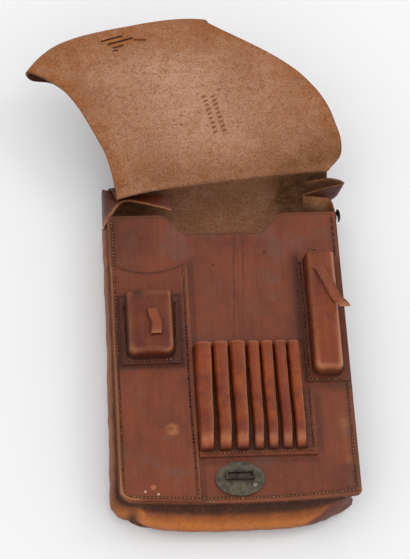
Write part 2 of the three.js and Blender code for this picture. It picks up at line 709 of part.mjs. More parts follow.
const plateLevel = faceLevel(0, plateFromFoot + plateHeight / 2) + clearance
const plateFace = plateLevel + plateThickness + clearance
const plate = add('lock_plate', lockPlate(), metal(brassColour, 0.5))
plate.position.set(0, plateFromFoot, plateLevel)
const mouth = add('lock_mouth', lockMouth(), metal(brassColour, 0.5))
mouth.position.set(0, plateFromFoot + mouthUp, plateFace)
const rivet = add('lock_rivet', lockRivet(), metal(brassColour, 0.4))
rivet.position.set(rivetAside, plateFromFoot - rivetDown, plateFace)
add('back_hook', backHook(), metal(ironColour, 0.6))

export default mapCase
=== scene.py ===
import math
import random

import bmesh
import bpy
from mathutils import Matrix, Vector, noise


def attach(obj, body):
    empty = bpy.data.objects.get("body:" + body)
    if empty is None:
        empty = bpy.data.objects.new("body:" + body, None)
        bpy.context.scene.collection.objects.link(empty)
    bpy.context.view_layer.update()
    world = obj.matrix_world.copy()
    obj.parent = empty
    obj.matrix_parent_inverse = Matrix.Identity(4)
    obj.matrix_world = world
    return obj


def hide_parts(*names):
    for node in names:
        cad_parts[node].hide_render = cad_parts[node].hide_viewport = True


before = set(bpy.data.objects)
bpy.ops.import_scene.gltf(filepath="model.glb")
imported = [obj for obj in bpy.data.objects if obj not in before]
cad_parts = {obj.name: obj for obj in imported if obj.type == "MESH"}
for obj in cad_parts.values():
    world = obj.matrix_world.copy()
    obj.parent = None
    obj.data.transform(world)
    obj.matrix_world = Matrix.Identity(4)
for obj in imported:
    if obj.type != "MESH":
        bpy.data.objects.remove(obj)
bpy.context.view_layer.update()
print("frame loaded")

# Lengths are in millimetres and Y counts from the case's bottom edge, as the case is cut and sewn.
case = {
    "width": 236,
    "height": 310,
    "depth": 46,
    "frontCorner": {"left": 13, "right": 5},
    "backCorner": {"left": 28, "right": 45},
    "bellyCorner": 6,
    "scoopDepth": 21,
    "scoopLeft": (-0.56, -0.3),
    "scoopRight": (0.3, 0.54),
    "bottomBow": 5,
    "swell": 2,
    "skew": 9,
    "leather": 2.4,
    "gussetLeather": 2,
    "pocketLeather": 1.6,
    "strapLeather": 2,
    "seam": 7,
    "gap": 0.3,
    "band": 50,
    "flapReach": 200,
    "flapRise": 104,
}
halfWidth = case["width"] / 2


def toFrame(x, y, z):
    return Vector((x, y - case["height"] / 2, z)) / 1000


def blend(start, end, share):
    return start + (end - start) * share


def softStep(value, start, end):
    share = min(max((value - start) / (end - start), 0), 1)
    return share * share * (3 - 2 * share)


def swellAt(value, centre, width):
    return math.exp(-(((value - centre) / width) ** 2))


def wander(x, y, z, size):
    # smooth chance between -1 and 1, the same each run
    return noise.noise(Vector((x, y, z)) / size)


def follow(rows, column, place):
    # a smooth curve through one column of a table
    last = len(rows) - 1
    index = min(int(place), last - 1)
    share = place - index
    before = rows[max(index - 1, 0)][column]
    start = rows[index][column]
    end = rows[index + 1][column]
    after = rows[min(index + 2, last)][column]
    square = share * share
    cube = square * share
    return (
        (2 * cube - 3 * square + 1) * start
        + (cube - 2 * square + share) * (end - before) / 2
        + (3 * square - 2 * cube) * end
        + (cube - square) * (after - start) / 2
    )


def evenShares(count):
    return [index / count for index in range(count + 1)]


def roundedShares(length, corners, turns, count):
    # stations along a length, finer round the corner at each end
    arc = [1 - math.cos(math.pi / 2 * turn / turns) for turn in range(turns)]
    left = corners["left"] / length
    right = corners["right"] / length
    middle = [blend(left, 1 - right, share) for share in evenShares(count)]
    return [left * share for share in arc] + middle + [1 - right * share for share in reversed(arc)]


# camera, light and floor

view = {
    "azimuth": 11,
    "elevation": 63.5,
    "roll": 8.502,
    "distance": 2.25604,
    "target": (-0.019018, 0.093392, 0.020),
    "focalPixels": 2200,
    "photoHeight": 559,
    "sensor": 36,
}


def addCamera():
    azimuth, elevation, roll = (math.radians(view[key]) for key in ("azimuth", "elevation", "roll"))
    forward = Vector((
        math.sin(azimuth) * math.cos(elevation),
        math.cos(azimuth) * math.cos(elevation),
        -math.sin(elevation),
    ))
    level = Vector((math.cos(azimuth), -math.sin(azimuth), 0))
    rise = level.cross(forward)
    right = level * math.cos(roll) + rise * math.sin(roll)
    up = rise * math.cos(roll) - level * math.sin(roll)
    data = bpy.data.cameras.new("camera")
    data.sensor_fit = "VERTICAL"
    data.sensor_height = view["sensor"]
    data.lens = view["focalPixels"] / view["photoHeight"] * view["sensor"]
    data.clip_end = 20
    camera = bpy.data.objects.new("camera", data)
    place = Vector(view["target"]) - forward * view["distance"]
    turn = Matrix((right, up, -forward)).transposed().to_4x4()
    camera.matrix_world = Matrix.Translation(place) @ turn
    bpy.context.scene.collection.objects.link(camera)
    bpy.context.scene.camera = camera


studio = {
    "skyColour": (0.985, 0.99, 1.0, 1),
    "skyStrength": 1.04,
    "lamps": [
        {"name": "keyLamp", "at": (1.5, 0.75, 1.9), "size": 1.0, "power": 6, "colour": (1, 0.99, 0.97)},
    ],
    "aim": (0, 0.1, 0),
    "floorSize": 6,
}


def addStudio():
    world = bpy.data.worlds.new("studio")
    world.use_nodes = True
    backing = world.node_tree.nodes["Background"]
    backing.inputs["Color"].default_value = studio["skyColour"]
    backing.inputs["Strength"].default_value = studio["skyStrength"]
    bpy.context.scene.world = world
    for lamp in studio["lamps"]:
        data = bpy.data.lights.new(lamp["name"], "AREA")
        data.shape = "DISK"
        data.size = lamp["size"]
        data.energy = lamp["power"]
        data.color = lamp["colour"]
        holder = bpy.data.objects.new(lamp["name"], data)
        place = Vector(lamp["at"])
        toward = Vector(studio["aim"]) - place
        holder.matrix_world = Matrix.Translation(place) @ toward.to_track_quat("-Z", "Y").to_matrix().to_4x4()
        bpy.context.scene.collection.objects.link(holder)
    bpy.context.scene.view_settings.view_transform = "Standard"


addCamera()
addStudio()
print("camera and lights set")


# materials

class Value:
    # a shader socket that Python operators can be used on

    def __init__(self, graph, socket):
        self.graph = graph
        self.socket = socket

    def join(self, kind, *others):
        return self.graph.node("ShaderNodeMath", {"operation": kind}, dict(enumerate((self, *others))))

    def __add__(self, other):
        return self.join("ADD", other)

    def __sub__(self, other):
        return self.join("SUBTRACT", other)

    def __rsub__(self, other):
        return self.graph.node("ShaderNodeMath", {"operation": "SUBTRACT"}, {0: other, 1: self})

    def __mul__(self, other):
        return self.join("MULTIPLY", other)

    __radd__ = __add__

    def clamped(self):
        return self.graph.node("ShaderNodeClamp", {}, {"Value": self})

    def between(self, low, high, toLow=0, toHigh=1):
        # 0 below low, 1 above high, and soft between them
        return self.graph.node(
            "ShaderNodeMapRange",
            {"interpolation_type": "SMOOTHSTEP"},
            {"Value": self, "From Min": low, "From Max": high, "To Min": toLow, "To Max": toHigh},
        )

    def hill(self, centre, width):
        # 1 at the centre, and 0 from width away
        return self.join("SUBTRACT", centre).join("ABSOLUTE").between(width, 0)


class Graph:
    # the node tree of one material

    def __init__(self, name):
        self.material = bpy.data.materials.new(name)
        self.material.use_nodes = True
        self.tree = self.material.node_tree
        self.tree.nodes.clear()

    def node(self, kind, settings=None, sockets=None, output=0):
        made = self.tree.nodes.new(kind)
        for key, value in (settings or {}).items():
            setattr(made, key, value)
        for key, value in (sockets or {}).items():
            if isinstance(value, Value):
                self.tree.links.new(value.socket, made.inputs[key])
            else:
                made.inputs[key].default_value = value
        return Value(self, made.outputs[output])

    def place(self, stretch=(1, 1, 1)):
        # where a point is on the case, in millimetres
        at = self.node("ShaderNodeTexCoord", output="Object")
        scale = [1000 * share for share in stretch]
        foot = (0, case["height"] / 2 * stretch[1], 0)
        return self.node("ShaderNodeMapping", {}, {"Vector": at, "Scale": scale, "Location": foot})

    def fact(self, name):
        return self.node("ShaderNodeAttribute", {"attribute_name": name}, output="Fac")

    def clouds(self, at, size, detail=3, roughness=0.5):
        # soft noise with features of that size
        sockets = {"Vector": at, "Scale": 1 / size, "Detail": detail, "Roughness": roughness}
        return self.node("ShaderNodeTexNoise", {}, sockets)

    def cells(self, at, size):
        return self.node("ShaderNodeTexVoronoi", {}, {"Vector": at, "Scale": 1 / size})

    def mix(self, share, first, second):
        return self.node("ShaderNodeMix", {"data_type": "RGBA"}, {0: share, 6: first, 7: second}, output=2)

    def vector(self, way, *others, output=0):
        return self.node("ShaderNodeVectorMath", {"operation": way}, dict(enumerate(others)), output)

    def spot(self, at, centre, radius, soft):
        # 1 inside a round spot seen from above
        away = self.vector("SUBTRACT", at, (centre[0], centre[1], 0))
        flat = self.vector("MULTIPLY", away, (1, 1, 0))
        return self.vector("LENGTH", flat, output="Value").between(radius + soft, radius - soft)

    def stroke(self, at, start, end, width, soft):
        # 1 along a line seen from above, and its place along that line
        run = Vector((end[0] - start[0], end[1] - start[1], 0))
        away = self.vector("SUBTRACT", at, (start[0], start[1], 0))
        flat = self.vector("MULTIPLY", away, (1, 1, 0))
        along = self.vector("DOT_PRODUCT", flat, tuple(run / run.length_squared), output="Value").clamped()
        foot = self.node("ShaderNodeVectorMath", {"operation": "SCALE"}, {0: tuple(run), "Scale": along})
        off = self.vector("LENGTH", self.vector("SUBTRACT", flat, foot), output="Value")
        return off.between(width + soft, width - soft), along

    def finish(self, colour, roughness, height=None, depth=0.0, **constant):
        shader = self.tree.nodes.new("ShaderNodeBsdfPrincipled")
        for key, value in (("Base Color", colour), ("Roughness", roughness)):
            if isinstance(value, Value):
                self.tree.links.new(value.socket, shader.inputs[key])
            else:
                shader.inputs[key].default_value = value
        for key, value in constant.items():
            shader.inputs[key.replace("_", " ")].default_value = value
        if height is not None:
            sockets = {"Strength": 1.0, "Distance": depth / 1000, "Height": height}
            bump = self.node("ShaderNodeBump", {}, sockets)
            self.tree.links.new(bump.socket, shader.inputs["Normal"])
        self.tree.links.new(shader.outputs[0], self.tree.nodes.new("ShaderNodeOutputMaterial").inputs[0])
        return self.material


light = {"gain": 1.08, "veil": 0.019, "least": 0.002}


def tint(red, green, blue):
    # a colour as the photograph shows it, made linear, less the lamps' share and the leather's sheen
    def linear(value):
        share = value / 255
        return share / 12.92 if share <= 0.04045 else ((share + 0.055) / 1.055) ** 2.4
    bare = [linear(value) / light["gain"] - light["veil"] for value in (red, green, blue)]
    return (*[max(value, light["least"]) for value in bare], 1)


# groove is how far from its cut edge a leather has a pressed line, and 99 lies past the sheet, for none;
# bloom is how much grey painted sheen the leather gets
hides = {
    "front": {
        "base": tint(126, 70, 52), "dark": tint(102, 60, 48),
        "warm": tint(138, 72, 50), "rubbedAndLit": tint(178, 116, 76),
        "gloss": 0.42, "groove": 5.2, "bloom": 0.55,
    },
    "pocket": {
        "base": tint(129, 70, 51), "dark": tint(104, 59, 46),
        "warm": tint(142, 74, 50), "rubbedAndLit": tint(184, 122, 80),
        "gloss": 0.42, "groove": 5.2, "bloom": 0.55,
    },
    "moulded": {
        "base": tint(130, 64, 38), "dark": tint(98, 48, 32),
        "warm": tint(152, 78, 40), "rubbedAndLit": tint(206, 140, 98),
        "gloss": 0.3, "groove": 99, "bloom": 0.2,
    },
    "tube": {
        "base": tint(140, 68, 38), "dark": tint(104, 50, 32),
        "warm": tint(168, 84, 44), "rubbedAndLit": tint(220, 154, 112),
        "gloss": 0.26, "groove": 99, "bloom": 0.0,
    },
    "pouch": {
        "base": tint(110, 56, 38), "dark": tint(86, 44, 30),
        "warm": tint(130, 68, 40), "rubbedAndLit": tint(190, 126, 88),
        "gloss": 0.32, "groove": 99, "bloom": 0.1,
    },
    "ear": {
        "base": tint(96, 52, 38), "dark": tint(66, 38, 30),
        "warm": tint(118, 66, 42), "rubbedAndLit": tint(190, 124, 84),
        "gloss": 0.34, "groove": 99, "bloom": 0.2,
    },
    "gusset": {
        "base": tint(142, 78, 40), "dark": tint(100, 56, 34),
        "warm": tint(176, 98, 44), "rubbedAndLit": tint(204, 122, 60),
        "gloss": 0.32, "groove": 99, "bloom": 0.1,
    },
    "outside": {
        "base": tint(116, 60, 42), "dark": tint(88, 46, 34),
        "warm": tint(140, 74, 44), "rubbedAndLit": tint(160, 98, 62),
        "gloss": 0.46, "groove": 5, "bloom": 0.4,
    },
}
# dark of dirt, and of painted shade in grooves, hollows, creases and under edges
grime = tint(62, 46, 34)
# grey of a painted sheen laid in patches on the leathers
greySheen = tint(118, 84, 72)
maroon = tint(104, 58, 46)
edgeDark = tint(66, 40, 28)


def grainLeather(name, hide, streaks=(), spots=()):
    # grain side: blotches, lengthwise streaks, pores, patches of painted grey sheen, dirt and painted shade
    # by the seams and in creases, rubbed places and painted highlights
    graph = Graph(name)
    at = graph.place()
    blotch = graph.clouds(at, 60, 3, 0.5).between(0.38, 0.66)
    cloud = graph.clouds(at, 18, 4, 0.6).between(0.38, 0.68)
    lengthwise = graph.clouds(graph.place((0.3, 0.012, 0.3)), 1, 4, 0.65).between(0.42, 0.68)
    scratch = graph.clouds(graph.place((1.1, 0.05, 1.1)), 1, 2, 0.6).between(0.62, 0.74)
    fine = graph.clouds(at, 1.4, 3, 0.65)
    edge = graph.fact("edge")
    dirtAndShade = graph.fact("grime")
    wornAndLit = graph.fact("rub")
    under = graph.fact("under")
    colour = graph.mix(blotch * 0.7, hide["base"], hide["dark"])
    colour = graph.mix(cloud * 0.55, colour, hide["warm"])
    # patches of painted grey sheen
    colour = graph.mix(graph.clouds(at, 34, 4, 0.6).between(0.5, 0.64) * hide["bloom"], colour, greySheen)
    colour = graph.mix(lengthwise * 0.4, colour, hide["dark"])
    colour = graph.mix(fine.between(0.5, 0.72) * 0.08, colour, hide["rubbedAndLit"])
    colour = graph.mix(fine.between(0.46, 0.3) * 0.14, colour, edgeDark)
    colour = graph.mix(scratch * 0.12, colour, hide["rubbedAndLit"])
    rough = graph.clouds(at, 5, 5, 0.7)
    colour = graph.mix(under, colour, maroon)
    # rubbed places: wear, and painted highlights on ridges, edges and bulges
    patchy = (wornAndLit + (rough - 0.5) * 1.5 * wornAndLit).clamped()
    colour = graph.mix(patchy * 0.85, colour, hide["rubbedAndLit"])
    for start, end, width in streaks:
        mark, _ = graph.stroke(at, start, end, width, width)
        colour = graph.mix(mark * rough.between(0.3, 0.6) * 0.6, colour, edgeDark)
    for centre, radius, shade, share in spots:
        mark = graph.spot(at, centre, radius, radius * 0.5)
        colour = graph.mix(mark * rough.between(0.34, 0.56) * share, colour, shade)
    # dirt, and painted shade in grooves, hollows, creases and under edges
    colour = graph.mix((dirtAndShade + (rough - 0.5) * 1.0 * dirtAndShade).clamped() * 0.88, colour, grime)
    groove = edge.hill(hide["groove"], 1.3)
    colour = graph.mix(groove * 0.35, colour, grime)
    rim = edge.between(1.2, 0.2)
    colour = graph.mix(rim * 0.4, colour, edgeDark)
    pores = graph.cells(at, 0.8)
    height = fine * 0.6 + pores.between(0.1, 0.7) * 0.5 + graph.clouds(at, 4, 3) * 1.2
    height = height - scratch * 0.4 - groove * 1.6
    roughness = rough.between(0.3, 0.7, hide["gloss"] - 0.08, hide["gloss"] + 0.16) + dirtAndShade * 0.25
    return graph.finish(colour, roughness, height, 0.22, Specular_IOR_Level=0.3)


# pale is the painted light on the flap's middle, olive is dirt and painted shade
nap = {
    "pale": tint(206, 162, 134), "base": tint(178, 130, 102), "brown": tint(152, 106, 80),
    "pit": tint(116, 76, 54), "fleck": tint(214, 172, 142), "rust": tint(160, 102, 66),
    "olive": tint(88, 66, 48), "edge": tint(124, 82, 56),
}


def suede(name):
    # flesh side: short mottled nap, paler in the middle of the flap where light is painted, olive where dirt
    # and painted shade lie, darker and oranger along its rim
    graph = Graph(name)
    at = graph.place()
    blotch = graph.clouds(at, 45, 4, 0.6).between(0.38, 0.64)
    cloud = graph.clouds(at, 12, 5, 0.7).between(0.4, 0.64)
    speck = graph.clouds(at, 1.5, 4, 0.75)
    pit = graph.clouds(at, 5.5, 6, 0.8)
    hair = graph.clouds(graph.place((0.9, 0.5, 0.9)), 1.1, 3, 0.7)
    streak = graph.clouds(graph.place((0.05, 0.22, 0.1)), 1, 4, 0.65)
    edge = graph.fact("edge")
    dirtAndShade = graph.fact("grime")
    wornAndLit = graph.fact("rub")
    glow = graph.fact("glow")
    colour = graph.mix(blotch * 0.8, nap["base"], nap["brown"])
    # painted light: the flap's middle made paler
    colour = graph.mix((glow + (cloud - 0.5) * 0.5 * glow).clamped() * 0.95, colour, nap["pale"])
    colour = graph.mix(cloud * 0.5, colour, nap["rust"])
    warm = edge.between(20, 1) * (0.4 + (cloud - 0.5) * 0.6)
    colour = graph.mix(warm.clamped(), colour, nap["rust"])
    colour = graph.mix((wornAndLit + (cloud - 0.5) * 0.9 * wornAndLit).clamped() * 0.8, colour, nap["rust"])
    # painted shade under the lip, in the band and in the curled end, with dirt, in olive
    colour = graph.mix((dirtAndShade + (cloud - 0.5) * 0.4 * dirtAndShade).clamped() * 0.9, colour, nap["olive"])
    colour = graph.mix(streak.between(0.5, 0.66) * 0.28, colour, nap["brown"])
    colour = graph.mix(speck.between(0.49, 0.62) * 0.55, colour, nap["pit"])
    colour = graph.mix(pit.between(0.54, 0.64) * 0.5, colour, nap["pit"])
    colour = graph.mix(speck.between(0.46, 0.36) * (0.26 - dirtAndShade * 0.1), colour, nap["fleck"])
    height = speck * 1.2 + hair * 0.8
    for start, end, dark, share in flapMarks["strokes"]:
        mark, _ = graph.stroke(at, start, end, 0.9, 0.5)
        colour = graph.mix(mark * share, colour, dark)
        height = height - mark * 2
    for start, end, count in flapMarks["stitchMarks"]:
        mark, along = graph.stroke(at, start, end, 2.1, 0.9)
        beat = (along * count).join("FRACT").hill(0.5, 0.45)
        colour = graph.mix(mark * beat * 0.8, colour, tint(126, 70, 36))
        height = height - mark * beat * 2
    rim = edge.between(1.4, 0.3)
    colour = graph.mix(rim * 0.6, colour, nap["edge"])
    return graph.finish(colour, 0.95, height, 0.35, Specular_IOR_Level=0.1)


def cutEdge(name, shade, pale):
    # the cut and burnished rim of a leather
    graph = Graph(name)
    at = graph.place()
    fibre = graph.clouds(at, 1.8, 4, 0.7)
    colour = graph.mix(fibre.between(0.42, 0.6), shade, pale)
    return graph.finish(colour, 0.6, fibre, 0.3, Specular_IOR_Level=0.2)


def patina(name, base, dull, bright, metallic):
    # old metal with a dull skin that is rubbed through in places
    graph = Graph(name)
    at = graph.place()
    bloom = graph.clouds(at, 8, 5, 0.65)
    fine = graph.clouds(at, 0.8, 3, 0.6)
    scrape = graph.clouds(graph.place((0.5, 0.08, 0.5)), 1, 3, 0.6)
    wornAndLit = graph.fact("rub")
    colour = graph.mix(bloom.between(0.44, 0.58), base, dull)
    colour = graph.mix((scrape.between(0.56, 0.7) * 0.35 + wornAndLit).clamped(), colour, bright)
    roughness = bloom.between(0.35, 0.65, 0.4, 0.62) - wornAndLit * 0.25
    return graph.finish(colour, roughness, fine + bloom, 0.08, Metallic=metallic, Specular_IOR_Level=0.3)


def thread(name):
    # waxed linen thread, tan where it is clean and darker where dirty, near black on the flat discs under the
    # stitches that paint the shade in their holes
    graph = Graph(name)
    at = graph.place()
    twist = graph.clouds(at, 0.5, 2)
    tone = graph.fact("tone")
    colour = graph.mix(tone, tint(40, 27, 20), tint(196, 140, 96))
    colour = graph.mix(twist.between(0.4, 0.6) * 0.3, colour, tint(112, 74, 46))
    return graph.finish(colour, 0.75, twist, 0.12, Specular_IOR_Level=0.2)


flapMarks = {
    # dark strokes paint the shade in the slits near the flap's end, paler strokes lie along their lips
    "strokes": [
        ((-118, 488), (-97, 493), tint(52, 30, 18), 0.95),
        ((-116, 486), (-98, 490.4), tint(190, 118, 62), 0.8),
        ((-111, 484), (-86, 490), tint(46, 27, 16), 0.95),
        ((-108, 481.6), (-90, 486), tint(186, 112, 58), 0.7),
        ((-106, 479.5), (-96, 482), tint(60, 34, 20), 0.85),
        ((-84, 488), (-72, 487), tint(84, 50, 30), 0.75),
        ((-106, 476), (-102, 476.8), tint(60, 36, 22), 0.8),
    ],
    "stitchMarks": [
        ((-16, 421), (-4, 383), 9),
        ((-7, 421), (5, 384), 9),
    ],
}

looks = {
    "front": grainLeather(
        "frontGrain", hides["front"], streaks=[((11, 285), (3.4, 166), 0.8), ((20, 286), (14, 180), 0.5)],
        spots=[
            ((40.5, 264.6), 1.4, edgeDark, 1.0),
            ((-12.5, 252.2), 1.2, edgeDark, 1.0),
            ((106.5, 75), 5, hides["front"]["rubbedAndLit"], 0.28),
            ((110, 36), 5, hides["front"]["rubbedAndLit"], 0.35),
        ],
    ),
    "pocket": grainLeather("pocketGrain", hides["pocket"], spots=[
        ((-63, 72), 6, hides["pocket"]["rubbedAndLit"], 0.6),
        ((-84.6, 13), 2.4, tint(206, 120, 90), 0.85),
        ((-92.8, 8.5), 1.2, tint(226, 186, 160), 0.95),
        ((-80, 5.4), 1.3, tint(230, 190, 160), 0.95),
    ]),
    "moulded": grainLeather("mouldedGrain", hides["moulded"]),
    "pouch": grainLeather("pouchGrain", hides["pouch"]),
    "tube": grainLeather("tubeGrain", hides["tube"]),
    "ear": grainLeather("earGrain", hides["ear"]),
    "gusset": grainLeather("gussetGrain", hides["gusset"]),
    "outside": grainLeather("outsideGrain", hides["outside"]),
    "suede": suede("suedeNap"),
    "edge": cutEdge("cutEdge", tint(70, 42, 28), tint(132, 80, 48)),
    "paleEdge": cutEdge("paleEdge", tint(150, 92, 62), tint(206, 152, 112)),
    "flapEdge": cutEdge("flapEdge", tint(84, 56, 38), tint(132, 92, 64)),
    "brass": patina("plateBrass", tint(104, 94, 80), tint(82, 78, 70), tint(140, 134, 120), 0.35),
    # a darker copy of the plate's brass paints the shade in the lock's mouth
    "mouth": patina("shadedMouthBrass", tint(78, 72, 62), tint(58, 54, 48), tint(128, 120, 106), 0.35),
    # a near-white brass paints the rivet's highlight
    "bright": patina("highlightRivetBrass", tint(176, 170, 156), tint(130, 124, 110), tint(226, 222, 210), 0.6),
    "iron": patina("hookIron", tint(70, 54, 42), tint(44, 34, 28), tint(120, 96, 74), 0.4),
    "thread": thread("linenThread"),
}
print("materials made")


# building leathers

def settle(piece, nodes):
    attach(piece, "root")
    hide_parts(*nodes)


def toObject(name, mesh, materials, smooth=True):
    data = bpy.data.meshes.new(name)
    mesh.to_mesh(data)
    mesh.free()
    for key in materials:
        data.materials.append(looks[key])
    data.polygons.foreach_set("use_smooth", [smooth] * len(data.polygons))
    piece = bpy.data.objects.new(name, data)
    bpy.context.scene.collection.objects.link(piece)
    return piece


def leatherPiece(name, surface, across, along, thickness, materials, nodes, rounding=0.5):
    # surface gives a point in millimetres and the facts that its material reads: the distance to a cut edge,
    # and from 0 to 1 how much dirt and painted shade, how much wear and painted highlight, how much painted
    # light pales the flap and how maroon the leather is there
    mesh = bmesh.new()
    bmesh.ops.create_grid(mesh, x_segments=len(across) - 1, y_segments=len(along) - 1, size=0.5)
    layers = {key: mesh.verts.layers.float.new(key) for key in ("edge", "grime", "rub", "glow", "under")}
    for vert in mesh.verts:
        a = across[round((vert.co.x + 0.5) * (len(across) - 1))]
        b = along[round((vert.co.y + 0.5) * (len(along) - 1))]
        point, facts = surface(a, b)
        vert.co = toFrame(*point)
        for key, value in facts.items():
            vert[layers[key]] = value
    piece = toObject(name, mesh, materials)
    wall = piece.modifiers.new("wall", "SOLIDIFY")
    wall.thickness = thickness / 1000
    wall.offset = 0
    wall.use_even_offset = False
    wall.material_offset = 1
    wall.material_offset_rim = 2
    soft = piece.modifiers.new("rim", "BEVEL")
    soft.width = rounding / 1000
    soft.segments = 2
    soft.limit_method = "ANGLE"
    soft.angle_limit = math.radians(50)
    settle(piece, nodes)


# levels of the front

def faceLevel(x, y):
    across = math.cos(math.pi * min(abs(x) / case["width"], 0.5))
    along = math.sin(math.pi * min(max(y / case["height"], 0), 1))
    ripple = wander(x, y, 3, 55) * 0.7 * softStep(y, 40, 90)
    return case["depth"] + case["swell"] * across * along + ripple


def footLine(x, corners):
    corner = corners["left" if x < 0 else "right"]
    past = min(max(abs(x) - (halfWidth - corner), 0), corner)
    bow = case["bottomBow"] * (1 - (x / halfWidth) ** 2)
    return corner - math.sqrt(corner**2 - past**2) - bow


def faceFoot(x):
    return footLine(x, case["frontCorner"])


def faceMouth(x):
    share = x / halfWidth
    dip = softStep(share, *case["scoopLeft"]) - softStep(share, *case["scoopRight"])
    return case["height"] - case["scoopDepth"] * dip + wander(x, 7, 1, 24) * 0.8 * abs(1 - abs(share))


def nearEdge(x, y):
    # millimetres from the front's own rim
    corner = case["frontCorner"]["left" if x < 0 else "right"]
    sides = halfWidth - abs(x)
    foot = y - (faceFoot(x) if abs(x) < halfWidth - corner else -case["bottomBow"] * 0.25)
    if sides < corner and foot < corner:
        return corner - math.hypot(corner - sides, corner - foot)
    return min(sides, foot, (faceMouth(x) - y) + 3.4)


# the front panel

front = {"turns": 9, "columns": 74, "rows": 96}


# dirt along the edges of what is sewn on, and a painted shadow beside the right pouch's left side: where a
# strip lies, how wide and where it fades in and out
uprightStrips = [
    # painted shadow down the right pouch's left side
    {"share": 0.75, "at": 72, "width": 5, "start": (112, 124), "end": (258, 268)},
    {"share": 0.55, "at": -35.5, "width": 2.4, "start": (-20, -10), "end": (250, 262)},
    {"share": 0.5, "at": 82, "width": 4, "start": (40, 50), "end": (104, 112)},
]
levelStrips = [
    {"share": 0.5, "at": 161, "width": 5, "start": (-40, -34), "end": (66, 74)},
    {"share": 0.45, "at": 38, "width": 4, "start": (-38, -30), "end": (76, 82)},
    {"share": 0.4, "at": 115, "width": 5, "start": (72, 80), "end": (120, 130)},
]


def stripDirtAndShade(x, y):
    total = 0
    for strips, near, far in ((uprightStrips, x, y), (levelStrips, y, x)):
        for strip in strips:
            faded = softStep(far, *strip["start"]) * (1 - softStep(far, *strip["end"]))
            total += strip["share"] * swellAt(near, strip["at"], strip["width"]) * faded
    return total


def makeFront():
    across = roundedShares(case["width"], case["frontCorner"], front["turns"], front["columns"])

    def surface(a, b):
        x = (a - 0.5) * case["width"]
        y = blend(faceFoot(x), faceMouth(x), b)
        dirtAndShade = stripDirtAndShade(x, y)
        dirtAndShade += 0.25 * swellAt(nearEdge(x, y), 6, 3) + 0.2 * swellAt(y, 20, 20) * softStep(x, 28, 40)
        dirtAndShade += 0.3 * softStep(-x, 60, 80) * softStep(y, 250, 275)
        wornAndLit = 0.18 * swellAt(x, 107, 4) * swellAt(y, 56, 30)
        wornAndLit += 0.4 * swellAt(nearEdge(x, y), 1, 2.0) * swellAt(y, 0, 14) + 0.2 * swellAt(y, faceMouth(x), 4)
        wornAndLit += 0.6 * swellAt(nearEdge(x, y), 0.5, 1.2) * softStep(-x, 90, 110)
        facts = {"edge": nearEdge(x, y), "grime": min(dirtAndShade, 1), "rub": min(wornAndLit, 1)}
        return (x, y, faceLevel(x, y) - case["leather"] / 2), facts

    leatherPiece(
        "frontLeather", surface, across, evenShares(front["rows"]), case["leather"],
        ("front", "suede", "edge"), ["front_panel"],
    )


# the back, the band behind the mouth and the flap, one leather

bandRows = [
    {"bow": 0, "lift": 0,
     "leftX": -0.493, "leftY": 0.46, "leftZ": 0, "rightX": 0.493, "rightY": 0.48, "rightZ": 0},
    {"bow": 0, "lift": 0,
     "leftX": -0.493, "leftY": 0.72, "leftZ": 0.14, "rightX": 0.493, "rightY": 0.8, "rightZ": 0.14},
    {"bow": 0, "lift": 0,
     "leftX": -0.488, "leftY": 0.82, "leftZ": 0.46, "rightX": 0.49, "rightY": 0.97, "rightZ": 0.48},
    {"bow": 0.06, "lift": 0,
     "leftX": -0.475, "leftY": 0.68, "leftZ": 0.84, "rightX": 0.482, "rightY": 1.0, "rightZ": 0.92},
    {"bow": 0.08, "lift": 0,
     "leftX": -0.456, "leftY": 0.34, "leftZ": 1.1, "rightX": 0.48, "rightY": 0.86, "rightZ": 1.27},
]
flapRows = [
    {"bow": 0.01, "lift": 0.03,
     "leftX": -0.466, "leftY": 0.17, "leftZ": 0.54, "rightX": 0.528, "rightY": 0.265, "rightZ": 0.66},
    {"bow": 0.01, "lift": 0.06,
     "leftX": -0.494, "leftY": 0.3, "leftZ": 0.6, "rightX": 0.53, "rightY": 0.33, "rightZ": 0.77},
    {"bow": 0.01, "lift": 0.08,
     "leftX": -0.527, "leftY": 0.38, "leftZ": 0.65, "rightX": 0.508, "rightY": 0.405, "rightZ": 0.84},
    {"bow": 0.015, "lift": 0.09,
     "leftX": -0.566, "leftY": 0.46, "leftZ": 0.71, "rightX": 0.475, "rightY": 0.5, "rightZ": 0.9},
    {"bow": 0.025, "lift": 0.08,
     "leftX": -0.61, "leftY": 0.545, "leftZ": 0.76, "rightX": 0.415, "rightY": 0.6, "rightZ": 0.95},
    {"bow": 0.04, "lift": 0.07,
     "leftX": -0.665, "leftY": 0.63, "leftZ": 0.8, "rightX": 0.322, "rightY": 0.705, "rightZ": 0.98},
    {"bow": 0.075, "lift": 0.05,
     "leftX": -0.735, "leftY": 0.69, "leftZ": 0.82, "rightX": 0.165, "rightY": 0.83, "rightZ": 1},
    {"bow": 0.095, "lift": 0.02,
     "leftX": -0.81, "leftY": 0.74, "leftZ": 0.82, "rightX": -0.034, "rightY": 0.98, "rightZ": 0.98},
    {"bow": 0.095, "lift": 0,
     "leftX": -0.832, "leftY": 0.755, "leftZ": 0.76, "rightX": -0.026, "rightY": 1.01, "rightZ": 0.9},
    {"bow": 0.08, "lift": 0,
     "leftX": -0.805, "leftY": 0.735, "leftZ": 0.69, "rightX": -0.008, "rightY": 1, "rightZ": 0.79},
    {"bow": 0.04, "lift": -0.03,
     "leftX": -0.71, "leftY": 0.745, "leftZ": 0.585, "rightX": 0.034, "rightY": 0.97, "rightZ": 0.46},
    {"bow": 0, "lift": -0.06,
     "leftX": -0.585, "leftY": 0.695, "leftZ": 0.44, "rightX": 0.076, "rightY": 0.925, "rightZ": 0.02},
]
flap = {"turns": 5, "columns": 78, "rowsPerSpan": 9, "backRows": 30}


